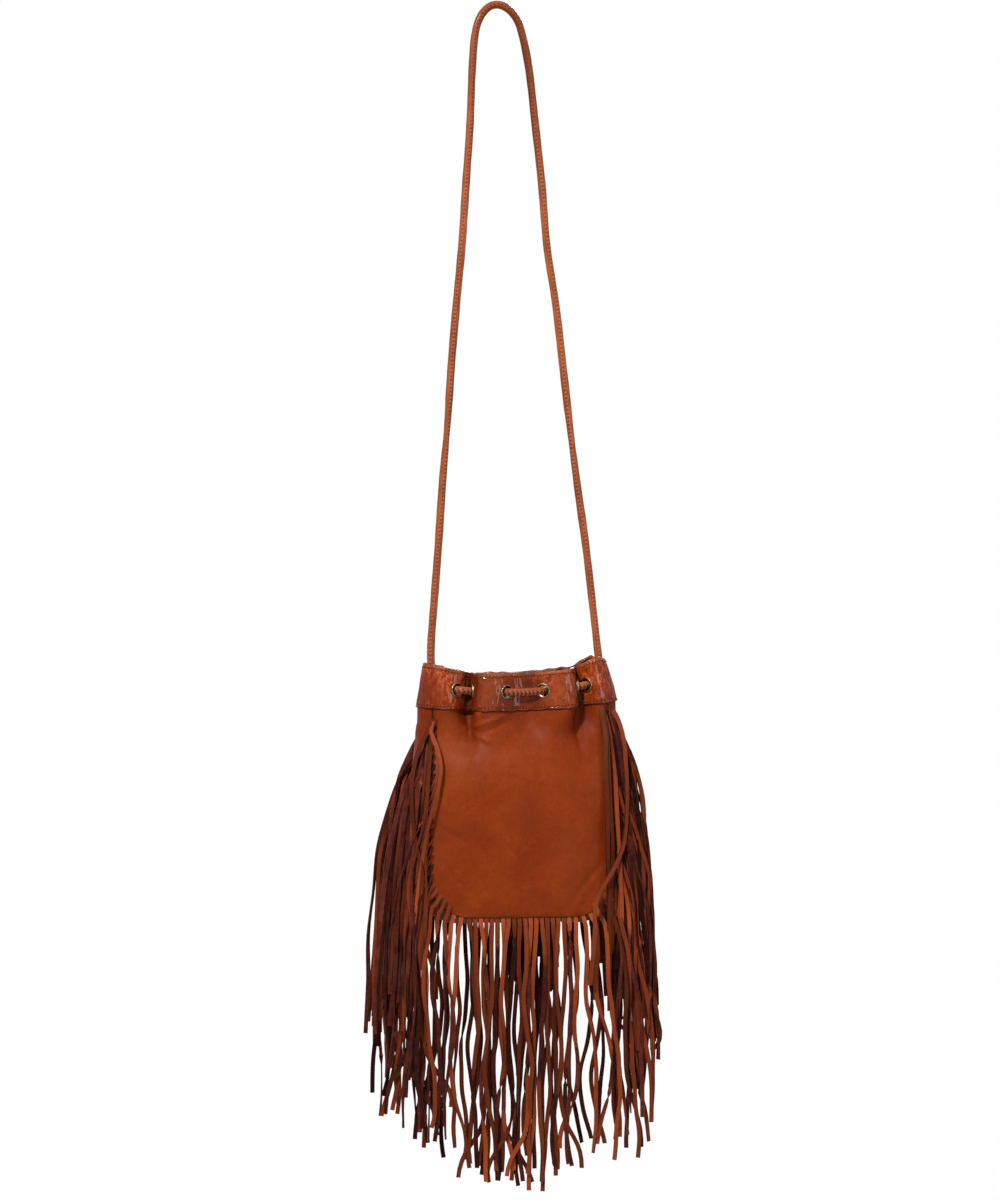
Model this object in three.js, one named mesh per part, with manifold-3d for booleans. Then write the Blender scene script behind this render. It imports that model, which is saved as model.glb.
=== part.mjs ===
// Fringed leather drawstring bag hung from its carrying cord.
// Millimetres, +Z up, front facing -Y, origin at the underside of the cord where it hangs.
import * as THREE from 'three';
import Module from 'manifold-3d';
import { mergeVertices } from 'three/addons/utils/BufferGeometryUtils.js';

// leather and fit
const bagX = 17;
const skin = 1.2;
const fit = 0.3;
const collarWall = 3.7;
const tuck = 8;
const grooveTop = tuck + 0.6;

// collar, measured at the middle of the front
const collarTopZ = -564.5;
const collarLowZ = -597;
const collarTaper = 0.075;

// pouch
const bodyHalfTop = 71;
const bodyHalf = 78.5;
const bodyLowZ = -771;
const cornerR = 36;
const depthHalf = 29;
const mouthDepth = 15.5;
const bellyY = 12;
const gussetOut = 13;
const gatherFade = 42;

// eyelets and cord
const eyeletOuter = 6.4;
const eyeletBore = 4.9;
const eyeletTube = 5.4;
const cordR = 2.9;
const knotR = 5.4;
const eyeletReach = collarWall / 2 + fit;

// fringe
const strandLength = 230;
const strandWidth = 3.6;
const strandThick = 1.3;
const strandGap = 0.6;
const spreadTop = 49;
const spreadLow = 32;
const sideLayers = 6;
const lowLayers = 3;

const tan = new THREE.MeshStandardMaterial({ color: 0x8c3a1c, roughness: 0.42, metalness: 0 });
const tanDark = new THREE.MeshStandardMaterial({ color: 0x7a3019, roughness: 0.45, metalness: 0 });
const fringeTan = new THREE.MeshStandardMaterial({ color: 0x6e2f1c, roughness: 0.8, metalness: 0 });
const brass = new THREE.MeshStandardMaterial({ color: 0x8d8166, roughness: 0.35, metalness: 1 });

const group = new THREE.Group();
const wasm = await Module();
wasm.setup();

const lerp = (a, b, t) => a + (b - a) * t;
const clamp01 = (t) => Math.min(1, Math.max(0, t));
const smooth = (t) => clamp01(t) * clamp01(t) * (3 - 2 * clamp01(t));

// Plan of the gathered wall at the collar, x from the bag's middle, front first, then right, back and left.
// The wall runs outward where the cord is inside it and inward where the cord is outside it.
const frontPlan = [
  [-72, -15.5],
  [-65.5, -18.5],
  [-59.5, -17.8],
  [-52, -14],
  [-46, -9.5],
  [-41.6, -8.5],
  [-39.3, -12.5],
  [-38.4, -19],
  [-35.6, -25.5],
  [-29.5, -29],
  [-23.5, -29],
  [-15.7, -26],
  [-6, -20.8],
  [3, -18.8],
  [12, -20.8],
  [21, -25.3],
  [30, -29],
  [37.5, -29.2],
  [43.6, -26],
  [46.6, -19.5],
  [47.6, -12.8],
  [50, -8.6],
  [54, -9.2],
  [60.5, -14.6],
  [66, -17.5],
  [72.5, -15.5],
];
const sideRight = [
  [77.5, -10.5],
  [80.6, -5.5],
  [81.6, 0],
  [80.6, 5.5],
  [77.5, 10.5],
];
const planPoints = [
  ...frontPlan,
  ...sideRight,
  ...frontPlan.map(([x, y]) => [x, -y]).reverse(),
  ...sideRight.map(([x, y]) => [-x, -y]),
];
const planCurve = new THREE.CatmullRomCurve3(
  planPoints.map(([x, y]) => new THREE.Vector3(x, y, 0)),
  true,
  'centripetal',
);
const planCount = planPoints.length;
const frontCount = frontPlan.length;
const sideCount = sideRight.length;

// Station k runs in steps of one control point; fractions lie between them.
const planAt = (k) => planCurve.getPoint((((k % planCount) + planCount) % planCount) / planCount);
const planNormal = (k) => {
  const a = planAt(k - 0.25);
  const b = planAt(k + 0.25);
  const t = b.sub(a).normalize();
  return new THREE.Vector3(t.y, -t.x, 0);
};

const edgeRise = (x) => (x / 80) * (x / 80);
const topZ = (x) => collarTopZ + 0.028 * x + 8.5 * edgeRise(x);
const lowZ = (x) => collarLowZ + 0.032 * x + 5.5 * edgeRise(x);

// A point of the collar's middle surface, s from 0 at its lower edge to 1 at its fold.
const collarAt = (k, s, off = 0) => {
  const p = planAt(k);
  const n = planNormal(k);
  const grow = 1 + collarTaper * (0.5 - s);
  const z = lerp(lowZ(p.x), topZ(p.x), s);
  return new THREE.Vector3(bagX + p.x * grow + n.x * off, p.y * (1 - 0.12 * (s - 0.5)) + n.y * off, z);
};

// Triangles between two rows of points that may hold different counts.
function zip(out, a, b, flip) {
  let i = 0;
  let j = 0;
  while (i < a.length - 1 || j < b.length - 1) {
    const stepA = j >= b.length - 1 || (i < a.length - 1 && (i + 1) * (b.length - 1) <= (j + 1) * (a.length - 1));
    if (stepA) {
      out.push(flip ? [a[i], b[j], a[i + 1]] : [a[i], a[i + 1], b[j]]);
      i += 1;
    } else {
      out.push(flip ? [a[i], b[j], b[j + 1]] : [a[i], b[j + 1], b[j]]);
      j += 1;
    }
  }
}

function meshFrom(tris) {
  const pos = [];
  for (const t of tris) {
    for (const p of t) {
      pos.push(p.x, p.y, p.z);
    }
  }
  const g = new THREE.BufferGeometry();
  g.setAttribute('position', new THREE.Float32BufferAttribute(pos, 3));
  return g;
}

// A closed skin of even thickness on rows of [point, normal]; rows run along the surface, first row at the top.
function sheet(rows, thick) {
  const face = (row, side) => row.map(([p, n]) => p.clone().addScaledVector(n, (side * thick) / 2));
  const outer = rows.map((r) => face(r, 1));
  const inner = rows.map((r) => face(r, -1));
  const tris = [];
  for (let i = 0; i < rows.length - 1; i += 1) {
    zip(tris, outer[i], outer[i + 1], true);
    zip(tris, inner[i], inner[i + 1], false);
    const last = outer[i].length - 1;
    const lastNext = outer[i + 1].length - 1;
    tris.push([outer[i][0], inner[i][0], outer[i + 1][0]], [outer[i + 1][0], inner[i][0], inner[i + 1][0]]);
    tris.push([outer[i][last], outer[i + 1][lastNext], inner[i][last]]);
    tris.push([outer[i + 1][lastNext], inner[i + 1][lastNext], inner[i][last]]);
  }
  zip(tris, outer[0], inner[0], false);
  zip(tris, outer[rows.length - 1], inner[rows.length - 1], true);
  return meshFrom(tris);
}

function toSolid(geometry) {
  const g = geometry.clone();
  g.deleteAttribute('normal');
  g.deleteAttribute('uv');
  const m = mergeVertices(g, 1e-3);
  const solid = new wasm.Manifold(
    new wasm.Mesh({
      numProp: 3,
      vertProperties: new Float32Array(m.attributes.position.array),
      triVerts: new Uint32Array(m.index.array),
    }),
  );
  return solid;
}

function fromSolid(solid) {
  const m = solid.getMesh();
  const g = new THREE.BufferGeometry();
  g.setAttribute('position', new THREE.Float32BufferAttribute(m.vertProperties, 3));
  g.setIndex(new THREE.Uint32BufferAttribute(m.triVerts, 1));
  g.computeVertexNormals();
  return g;
}

function add(name, geometry, material) {
  const mesh = new THREE.Mesh(geometry, material);
  mesh.name = name;
  group.add(mesh);
}

// eyelet stations on the front wall, one on each flank of a fold; the back repeats them
const frontEyelets = [2.6, 6.5, 11.2, 14.8, 19.4, 22.7];
const backEyelets = frontEyelets.map((k) => 2 * frontCount + sideCount - 1 - k);
const eyeletPlaces = [...frontEyelets, ...backEyelets].map((k) => {
  const centre = collarAt(k, 0.5);
  const axis = planNormal(k);
  return { k, centre, axis };
});

function turned(geometry, centre, axis) {
  const q = new THREE.Quaternion().setFromUnitVectors(new THREE.Vector3(0, 1, 0), axis);
  geometry.applyQuaternion(q);
  geometry.translate(centre.x, centre.y, centre.z);
  return geometry;
}

// collar: a band folded over the mouth, with a groove that takes the top of the pouch
{
  const stations = [];
  for (let k = 0; k < planCount; k += 1) {
    stations.push(k);
  }
  const half = collarWall / 2;
  const slot = skin / 2 + fit;
  const ring = (k) => {
    const height = topZ(planAt(k).x) - lowZ(planAt(k).x);
    const g = grooveTop / height;
    return [
      collarAt(k, 0, half),
      collarAt(k, 0.5, half + 0.2),
      collarAt(k, 0.95, half * 0.85),
      collarAt(k, 1, 0),
      collarAt(k, 0.95, -half * 0.85),
      collarAt(k, 0, -half),
      collarAt(k, 0, -slot),
      collarAt(k, g, -slot),
      collarAt(k, g, slot),
      collarAt(k, 0, slot),
    ];
  };
  const rings = stations.map(ring);
  const tris = [];
  for (let i = 0; i < rings.length; i += 1) {
    const a = rings[i];
    const b = rings[(i + 1) % rings.length];
    for (let j = 0; j < a.length; j += 1) {
      const j2 = (j + 1) % a.length;
      tris.push([a[j], b[j], b[j2]], [a[j], b[j2], a[j2]]);
    }
  }
  let collar = toSolid(meshFrom(tris));
  const seat = eyeletReach - fit;
  const boreProfile = [
    [0, -9],
    [eyeletOuter + fit, -9],
    [eyeletOuter + fit, -seat],
    [eyeletTube + fit, -seat],
    [eyeletTube + fit, seat],
    [eyeletOuter + fit, seat],
    [eyeletOuter + fit, 9],
    [0, 9],
  ].map(([r, y]) => new THREE.Vector2(r, y));
  for (const e of eyeletPlaces) {
    const bore = new THREE.LatheGeometry(boreProfile, 9);
    collar = collar.subtract(toSolid(turned(bore, e.centre, e.axis)));
  }
  add('collar', fromSolid(collar), tan);
}

// one rolled eyelet in each bore: flange outside, short tube, rolled rim inside
eyeletPlaces.forEach((e, i) => {
  const reach = eyeletReach;
  const profile = [
    [eyeletBore, -reach - 0.7],
    [eyeletOuter - 0.3, -reach - 0.9],
    [eyeletOuter - 0.3, -reach],
    [eyeletTube, -reach],
    [eyeletTube, reach],
    [eyeletOuter, reach],
    [eyeletOuter - 0.3, reach + 1],
    [eyeletBore, reach + 0.9],
    [eyeletBore, -reach - 0.7],
  ].map(([r, y]) => new THREE.Vector2(r, y));
  const name = i < 6 ? `eyelet_front_${i + 1}` : `eyelet_back_${i - 5}`;
  add(name, turned(new THREE.LatheGeometry(profile, 9), e.centre, e.axis), brass);
});

// Half-width of the pouch at the seam for a height, and the height of the rounded bottom corners.
const cornerZ = bodyLowZ + cornerR;
const bodyTopZ = -590;
const seamTopZ = -603;
function seamHalf(z) {
  const t = clamp01((bodyTopZ - z) / 110);
  const wide = lerp(bodyHalfTop, bodyHalf, Math.sin((t * Math.PI) / 2));
  if (z >= cornerZ) {
    return wide;
  }
  const d = clamp01((cornerZ - z) / cornerR);
  return wide - cornerR * (1 - Math.sqrt(Math.max(0, 1 - d * d)));
}

// Depth of the seam from the middle plane.
const seamDepth = (z) => lerp(mouthDepth, depthHalf, smooth((bodyTopZ - z) / 75));

// Station range of each piece along the plan; the small gap keeps neighbours apart.
const seamGap = 0.06;
const frontSpan = [seamGap, frontCount - 1 - seamGap];
const backSpan = [frontCount + sideCount + seamGap, 2 * frontCount + sideCount - 1 - seamGap];

// A point of the front or back panel: f along the panel, d from the collar's lower edge down, in mm.
function panelAt(span, f, z, face) {
  const k = lerp(span[0], span[1], f);
  const plan = planAt(k);
  const half = seamHalf(z) + 0.6;
  const across = face < 0 ? lerp(-half, half, f) : lerp(half, -half, f);
  const low = lowZ(plan.x);
  const w = 1 - smooth((low - z) / gatherFade);
  const round = Math.sin(Math.PI * f) ** 1.1;
  const down = clamp01((low - z) / (low - bodyLowZ));
  const belly = bellyY * round * Math.sin(Math.PI * Math.min(1, 0.22 + down * 0.78)) ** 0.8;
  const grow = 1 + collarTaper * 0.5;
  const x = lerp(across, plan.x * grow, w);
  const y = lerp(face * (seamDepth(z) + belly), plan.y * 1.06, w);
  return new THREE.Vector3(bagX + x, y, z);
}

function panelNormal(span, f, z, face) {
  const e = 0.004;
  const a = panelAt(span, Math.max(0, f - e), z, face);
  const b = panelAt(span, Math.min(1, f + e), z, face);
  const c = panelAt(span, f, z + 1, face);
  const d = panelAt(span, f, z - 1, face);
  return b.sub(a).cross(c.sub(d)).normalize();
}

const panelHeights = [-604, -613, -624, -638, -656, -678, -702, -724];
const cornerSteps = [0, 0.3, 0.6, 0.85, 1.0];
function panelRows(span, face) {
  const rows = [];
  const full = frontCount - 1;
  const tuckRow = (lift) => {
    const row = [];
    for (let i = 0; i <= full; i += 1) {
      const k = lerp(span[0], span[1], i / full);
      const h = topZ(planAt(k).x) - lowZ(planAt(k).x);
      row.push([collarAt(k, lift / h), planNormal(k)]);
    }
    return row;
  };
  rows.push(tuckRow(tuck), tuckRow(0));
  const heightRow = (z, count) => {
    const row = [];
    for (let i = 0; i <= count; i += 1) {
      const f = i / count;
      row.push([panelAt(span, f, z, face), panelNormal(span, f, z, face)]);
    }
    return row;
  };
  panelHeights.forEach((z, i) => rows.push(heightRow(z, i < 4 ? full : 14)));
  cornerSteps.forEach((t) => rows.push(heightRow(cornerZ - cornerR * Math.sin((t * Math.PI) / 2), 14)));
  return rows;
}
add('front_panel', sheet(panelRows(frontSpan, -1), skin), tan);
add('back_panel', sheet(panelRows(backSpan, 1), skin), tan);

// The seam line in front view: left side, rounded corner, bottom, corner, right side, by length from the left top.
const sideLength = seamTopZ - cornerZ;
const arcLength = (Math.PI / 2) * cornerR;
const flatHalf = bodyHalf - cornerR;
const seamLength = 2 * (sideLength + arcLength + flatHalf);
function seamAt(length) {
  const mirrored = length > seamLength / 2;
  const l = mirrored ? seamLength - length : length;
  const sign = mirrored ? 1 : -1;
  if (l <= sideLength) {
    const z = seamTopZ - l;
    return { x: sign * seamHalf(z), z, nx: sign, nz: 0 };
  }
  if (l <= sideLength + arcLength) {
    const a = (l - sideLength) / cornerR;
    const c = Math.cos(a);
    const d = Math.sin(a);
    return { x: sign * (flatHalf + cornerR * c), z: cornerZ - cornerR * d, nx: sign * c, nz: -d };
  }
  return { x: sign * (seamLength / 2 - l), z: bodyLowZ, nx: 0, nz: -1 };
}

// gusset: one strip bent round the sides and bottom, bellied outward between its two seams
{
  const across = sideCount + 1;
  const sideStation = (right, g) =>
    right
      ? lerp(frontCount - 1 + seamGap, frontCount + sideCount - seamGap, g)
      : lerp(planCount - seamGap, 2 * frontCount + sideCount - 1 + seamGap, g);
  const pointAt = (length, g) => {
    const at = seamAt(length);
    const right = length > seamLength / 2;
    const round = Math.sin(Math.PI * g) ** 0.9;
    const out = gussetOut * (0.45 + 0.55 * Math.abs(at.nx)) * round;
    const depth = lerp(-1, 1, g) * (seamDepth(at.z) - 1.5);
    const plan = planAt(sideStation(right, g));
    const w = 1 - smooth((lowZ(plan.x) - at.z) / gatherFade);
    const x = lerp(at.x + at.nx * out, plan.x * (1 + collarTaper * 0.5), w);
    return new THREE.Vector3(bagX + x, lerp(depth, plan.y * 1.06, w), at.z + at.nz * out);
  };
  const rowAt = (length) => {
    const row = [];
    for (let i = 0; i <= across; i += 1) {
      const g = i / across;
      const du = pointAt(length, Math.min(1, g + 0.01)).sub(pointAt(length, Math.max(0, g - 0.01)));
      const dv = pointAt(length + 0.5, g).sub(pointAt(length - 0.5, g));
      row.push([pointAt(length, g), dv.cross(du).normalize()]);
    }
    return row;
  };
  const tuckRow = (right, lift) => {
    const row = [];
    for (let i = 0; i <= across; i += 1) {
      const k = sideStation(right, i / across);
      const h = topZ(planAt(k).x) - lowZ(planAt(k).x);
      row.push([collarAt(k, lift / h), planNormal(k)]);
    }
    return row;
  };
  const half = [0.045, 0.12, 0.23, 0.4, 0.6, 0.8].map((share) => share * sideLength);
  for (let i = 0; i <= 4; i += 1) {
    half.push(sideLength + (arcLength * i) / 4);
  }
  half.push(sideLength + arcLength + flatHalf * 0.5);
  const lengths = [...half, seamLength / 2, ...half.map((l) => seamLength - l).reverse()];
  const rows = [tuckRow(false, tuck), tuckRow(false, 0)];
  lengths.forEach((l) => rows.push(rowAt(l)));
  rows.push(tuckRow(true, 0), tuckRow(true, tuck));
  add('gusset', sheet(rows, skin), tanDark);
}

// fringe: thongs laced side by side along each seam, hanging outside the gusset
const wave = (i, a) => Math.sin(i * 12.9898 + a * 78.233) * 0.5 + Math.sin(i * 4.1414 + a * 37.719) * 0.5;
const bandIn = 1.1;
const bandOut = 1.8;
const bandOff = 1.95;
const bandHalf = 0.6;

// One thong as centre points in front view with its depth; length is measured along it.
function strandPoints(length, index, layer, count) {
  const at = seamAt(length);
  const side = Math.abs(at.nx);
  const fall = clamp01((seamTopZ - at.z) / (seamTopZ - bodyLowZ));
  const end = side > 0.02 ? Math.sign(at.nx) * lerp(spreadTop, spreadLow, fall) * side ** 0.8 : 0;
  const first = end * 0.55;
  const total = strandLength + 9 * wave(index, 3);
  const fine = 60;
  const pts = [];
  let x = at.x + at.nx * bandOut;
  let z = at.z + at.nz * bandOut;
  const drift = 0.3 * wave(index, 1);
  const outAt = (u) => first * (1 - Math.exp(-u * 4.5)) + (end - first) * u + drift * Math.sin(u * 5);
  for (let i = 0; i <= fine; i += 1) {
    const u = i / fine;
    const lift = depthHalf - seamDepth(at.z) + (strandThick + strandGap) * layer;
    const y = lift * smooth(u * 8) - 0.2 * Math.max(0, Math.abs(outAt(u)) - 19);
    pts.push(new THREE.Vector3(x, y, z));
    const step = total / fine;
    const dx = Math.max(-step * 0.96, Math.min(step * 0.96, outAt(u + 1 / fine) - outAt(u)));
    x += dx;
    z -= Math.sqrt(step * step - dx * dx);
  }
  const picks = [0];
  for (let j = 1; j <= count; j += 1) {
    picks.push(Math.round(fine * (j / count) ** (side > 0.3 ? 1.6 : 1.15)));
  }
  return picks.map((j) => pts[j]);
}

function comb(name, lengths, face, startIndex) {
  const tris = [];
  const quad = (a, b, c, d) => {
    tris.push([a, b, c], [a, c, d]);
  };
  const turn = (p) => new THREE.Vector3(bagX + p.x, face * p.y, p.z);
  const section = (length) => {
    const at = seamAt(length);
    const y = seamDepth(at.z) + bandOff;
    const p = (off, dy) => new THREE.Vector3(at.x + at.nx * off, y + dy, at.z + at.nz * off);
    return [p(-bandIn, bandHalf), p(bandOut, bandHalf), p(bandOut, -bandHalf), p(-bandIn, -bandHalf)];
  };
  let previous = null;
  let firstSection = null;
  const join = (a, b, open) => {
    quad(a[0], b[0], b[1], a[1]);
    if (!open) {
      quad(a[1], b[1], b[2], a[2]);
    }
    quad(a[2], b[2], b[3], a[3]);
    quad(a[3], b[3], b[0], a[0]);
  };
  lengths.forEach((length, n) => {
    const index = startIndex + n;
    const a = section(length - strandWidth / 2);
    const b = section(length + strandWidth / 2);
    if (previous) {
      join(previous, a, false);
    } else {
      firstSection = a;
    }
    join(a, b, true);
    previous = b;
    const at = seamAt(length);
    const baseY = seamDepth(at.z) + bandOff;
    const order = at.nx > 0.02 ? n : lengths.length - 1 - n;
    const onSide = Math.abs(at.nx) > 0.3;
    const pts = strandPoints(length, index, order % (onSide ? sideLayers : lowLayers), onSide ? 4 : 3);
    let ring = [a[1], b[1], b[2], a[2]];
    for (let i = 1; i < pts.length; i += 1) {
      const t = pts[Math.min(i + 1, pts.length - 1)].clone().sub(pts[i - 1]);
      t.y = 0;
      t.normalize();
      const w = new THREE.Vector3(-t.z, 0, t.x).multiplyScalar(-strandWidth / 2);
      const y = baseY + pts[i].y;
      const p = (sign, dy) => new THREE.Vector3(pts[i].x + sign * w.x, y + dy, pts[i].z + sign * w.z);
      const h = strandThick / 2;
      const next = [p(1, h), p(-1, h), p(-1, -h), p(1, -h)];
      for (let j = 0; j < 4; j += 1) {
        const j2 = (j + 1) % 4;
        quad(ring[j], ring[j2], next[j2], next[j]);
      }
      ring = next;
    }
    quad(ring[0], ring[1], ring[2], ring[3]);
  });
  quad(firstSection[0], firstSection[1], firstSection[2], firstSection[3]);
  quad(previous[3], previous[2], previous[1], previous[0]);
  const placed = tris.map((t) => t.map(turn));
  const solid = toSolid(meshFrom(placed));
  const outward = solid.volume() > 0 ? placed : placed.map(([a, b, c]) => [a, c, b]);
  add(name, meshFrom(outward), fringeTan);
}

const sideLengths = [];
for (let l = 5; l < sideLength - 2; l += 7.6) {
  sideLengths.push(l);
}
for (let i = 0; i < 9; i += 1) {
  sideLengths.push(sideLength + (arcLength * (i + 0.5)) / 9);
}
const lowLengths = [];
for (let i = 0; i < 18; i += 1) {
  lowLengths.push(sideLength + arcLength + (2 * flatHalf * (i + 0.5)) / 18);
}
const rightLengths = sideLengths.map((l) => seamLength - l).reverse();
for (const [label, face] of [
  ['front', -1],
  ['back', 1],
]) {
  const base = face < 0 ? 0 : 140;
  comb(`fringe_${label}_left`, sideLengths, face, base);
  comb(`fringe_${label}_bottom`, lowLengths, face, base + 30);
  comb(`fringe_${label}_right`, rightLengths, face, base + 50);
}

// cord: one length, knotted inside the left corner, through the front eyelets, up from the right corner,
// over the hang point, down into the left corner, through the back eyelets, knotted inside the right corner
const frontRun = [
  [-54, -3, -587],
  [-50.5, -7.5, -582],
  [-44, -10.8, -579.3],
  [-37.9, -15.7, -579.1],
  [-33, -19.2, -579.4],
  [-27.8, -18.4, -579.8],
  [-21.8, -15.6, -580.3],
  [-15.5, -15, -580.7],
  [-9, -16.7, -581],
  [-2.6, -20, -581],
  [3.2, -25, -581],
  [8.4, -28.7, -581],
  [14, -29.3, -581],
  [20, -29.6, -580.8],
  [26, -29.2, -580.4],
  [31, -28.3, -580.1],
  [36.2, -24.4, -579.8],
  [42.2, -19.5, -579.3],
  [49, -17, -578.6],
  [56, -16.2, -577.8],
  [64, -16.8, -576.9],
  [69.8, -16.2, -576],
  [75.5, -13, -575.2],
  [80.3, -9.2, -574.1],
  [84.6, -5, -570.8],
  [87.2, -1.6, -564.5],
];
const strapRun = [
  [88, 0, -556],
  [86.4, 0, -541],
  [82.6, 0, -507.5],
  [76.6, 0, -456.5],
  [69.3, 0, -405],
  [62.8, 0, -354.5],
  [56.8, 0, -303.5],
  [50.8, 0, -252.5],
  [43, 0, -201.5],
  [38.7, 0, -150.5],
  [33.1, 0, -99.5],
  [27.1, 0, -48.5],
  [21.9, 0, -23],
  [18, 0, -11],
  [12.3, 0, -3],
  [6, 0, 1.6],
  [0, 0, 2.9],
  [-5.6, 0, 1.6],
  [-11.4, 0, -3.4],
  [-15.8, 0, -11],
  [-18.9, 0, -23],
  [-21.1, 0, -48.5],
  [-23.2, 0, -99.5],
  [-26.7, 0, -150.5],
  [-30.1, 0, -201.5],
  [-34.9, 0, -252.5],
  [-39.2, 0, -303.5],
  [-42.6, 0, -354.5],
  [-46.9, 0, -405],
  [-50.3, 0, -456.5],
  [-54.2, 0, -507.5],
  [-56.6, 0, -541],
  [-56.6, 0, -556],
];
const backRun = [
  [-55, 1.8, -565.5],
  [-51.6, 5.4, -573.5],
  [-44.2, 9.6, -578.7],
  [-37.9, 15.7, -579.1],
  [-33, 19.2, -579.4],
  [-27.8, 18.4, -579.8],
  [-21.8, 15.6, -580.3],
  [-15.5, 15, -580.7],
  [-9, 16.7, -581],
  [-2.6, 20, -581],
  [3.2, 25, -581],
  [8.4, 28.7, -581],
  [14, 29.3, -581],
  [20, 29.6, -580.8],
  [26, 29.2, -580.4],
  [31, 28.3, -580.1],
  [36.2, 24.4, -579.8],
  [42.2, 19.5, -579.3],
  [49, 17, -578.6],
  [56, 16.2, -577.8],
  [64, 16.8, -576.9],
  [69.8, 16.2, -576],
  [75.5, 13, -575.2],
  [80.5, 9.4, -577],
  [84.4, 6, -581.5],
  [86.5, 4, -587],
];
{
  const points = [...frontRun, ...strapRun, ...backRun].map(([x, y, z]) => new THREE.Vector3(x, y, z));
  const route = new THREE.CatmullRomCurve3(points, false, 'centripetal');
  route.getPointAt = (t) => route.getPoint(t);
  route.getTangentAt = (t) => route.getTangent(t);
  const round = new THREE.Shape();
  round.absarc(0, 0, cordR, 0, Math.PI * 2, false);
  const settings = { steps: points.length - 1, curveSegments: 4, bevelEnabled: false, extrudePath: route };
  let cord = toSolid(new THREE.ExtrudeGeometry(round, settings));
  for (const end of [points[0], points[points.length - 1]]) {
    const knot = new THREE.SphereGeometry(knotR, 8, 6);
    knot.translate(end.x, end.y, end.z - 1.5);
    cord = cord.add(toSolid(knot));
  }
  add('carry_cord', fromSolid(cord), tanDark);
}

export default group;
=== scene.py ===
import math
import bpy
import numpy as np
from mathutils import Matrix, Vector, noise


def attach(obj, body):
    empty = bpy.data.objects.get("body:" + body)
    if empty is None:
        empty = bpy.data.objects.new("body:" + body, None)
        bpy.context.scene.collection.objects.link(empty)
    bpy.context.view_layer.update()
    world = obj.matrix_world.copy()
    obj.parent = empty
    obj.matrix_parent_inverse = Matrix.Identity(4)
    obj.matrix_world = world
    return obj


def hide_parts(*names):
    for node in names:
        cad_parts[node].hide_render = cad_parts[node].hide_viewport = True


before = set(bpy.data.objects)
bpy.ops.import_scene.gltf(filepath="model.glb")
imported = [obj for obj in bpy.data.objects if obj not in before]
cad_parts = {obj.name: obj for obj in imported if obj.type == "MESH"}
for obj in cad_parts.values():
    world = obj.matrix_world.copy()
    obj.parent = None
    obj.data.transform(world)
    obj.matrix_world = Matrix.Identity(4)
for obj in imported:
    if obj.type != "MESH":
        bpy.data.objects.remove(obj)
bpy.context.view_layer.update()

scene = bpy.context.scene
mm = 0.001


# camera, a long lens a little to the left of the bag's front
cameraSettings = dict(turn=-9.0, targetX=2.6, targetZ=-503.2, distance=3.5, lens=123.5)
turn = math.radians(cameraSettings["turn"])
camData = bpy.data.cameras.new("photoCamera")
camData.lens = cameraSettings["lens"]
camData.sensor_width = 36
camData.clip_start = 0.1
camData.clip_end = 60
cam = bpy.data.objects.new("photoCamera", camData)
scene.collection.objects.link(cam)
camBack = Vector((math.sin(turn), -math.cos(turn), 0))
camTarget = Vector((cameraSettings["targetX"] * mm, 0, cameraSettings["targetZ"] * mm))
cam.location = camTarget + camBack * cameraSettings["distance"]
cam.rotation_mode = "QUATERNION"
cam.rotation_quaternion = (-camBack).to_track_quat("-Z", "Y")
scene.camera = cam
print("camera ready")


# shared sizes, in millimetres as in the drawing
bag = dict(
    midX=17, skin=1.2, collarWall=3.7, tuck=8, collarTop=-564.5, collarLow=-597, taper=0.075,
    topZ=-590, seamTop=-603, lowZ=-771, corner=36, halfTop=71, half=78.5, depth=29, belly=12,
    gussetOut=13, fade=42,
)

planFront = [
    (-72, -15.5), (-65.5, -18.5), (-59.5, -17.8), (-52, -14), (-46, -9.5), (-41.6, -8.5), (-39.3, -12.5),
    (-38.4, -19), (-35.6, -25.5), (-29.5, -29), (-23.5, -29), (-15.7, -26), (-6, -20.8), (3, -18.8),
    (12, -20.8), (21, -25.3), (30, -29), (37.5, -29.2), (43.6, -26), (46.6, -19.5), (47.6, -12.8),
    (50, -8.6), (54, -9.2), (60.5, -14.6), (66, -17.5), (72.5, -15.5),
]
planSide = [(77.5, -10.5), (80.6, -5.5), (81.6, 0), (80.6, 5.5), (77.5, 10.5)]
planBack = [(x, -y) for x, y in reversed(planFront)]
planPoints = np.array(planFront + planSide + planBack + [(-x, -y) for x, y in planSide], float)
planCount = len(planPoints)
frontCount = len(planFront)
sideCount = len(planSide)


def smooth(t):
    t = np.clip(t, 0, 1)
    return t * t * (3 - 2 * t)


def runningSum(steps):
    return np.concatenate([[0], np.cumsum(steps)])


def hill(x, at, wide):
    return np.exp(-((x - at) / wide) ** 2)


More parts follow.
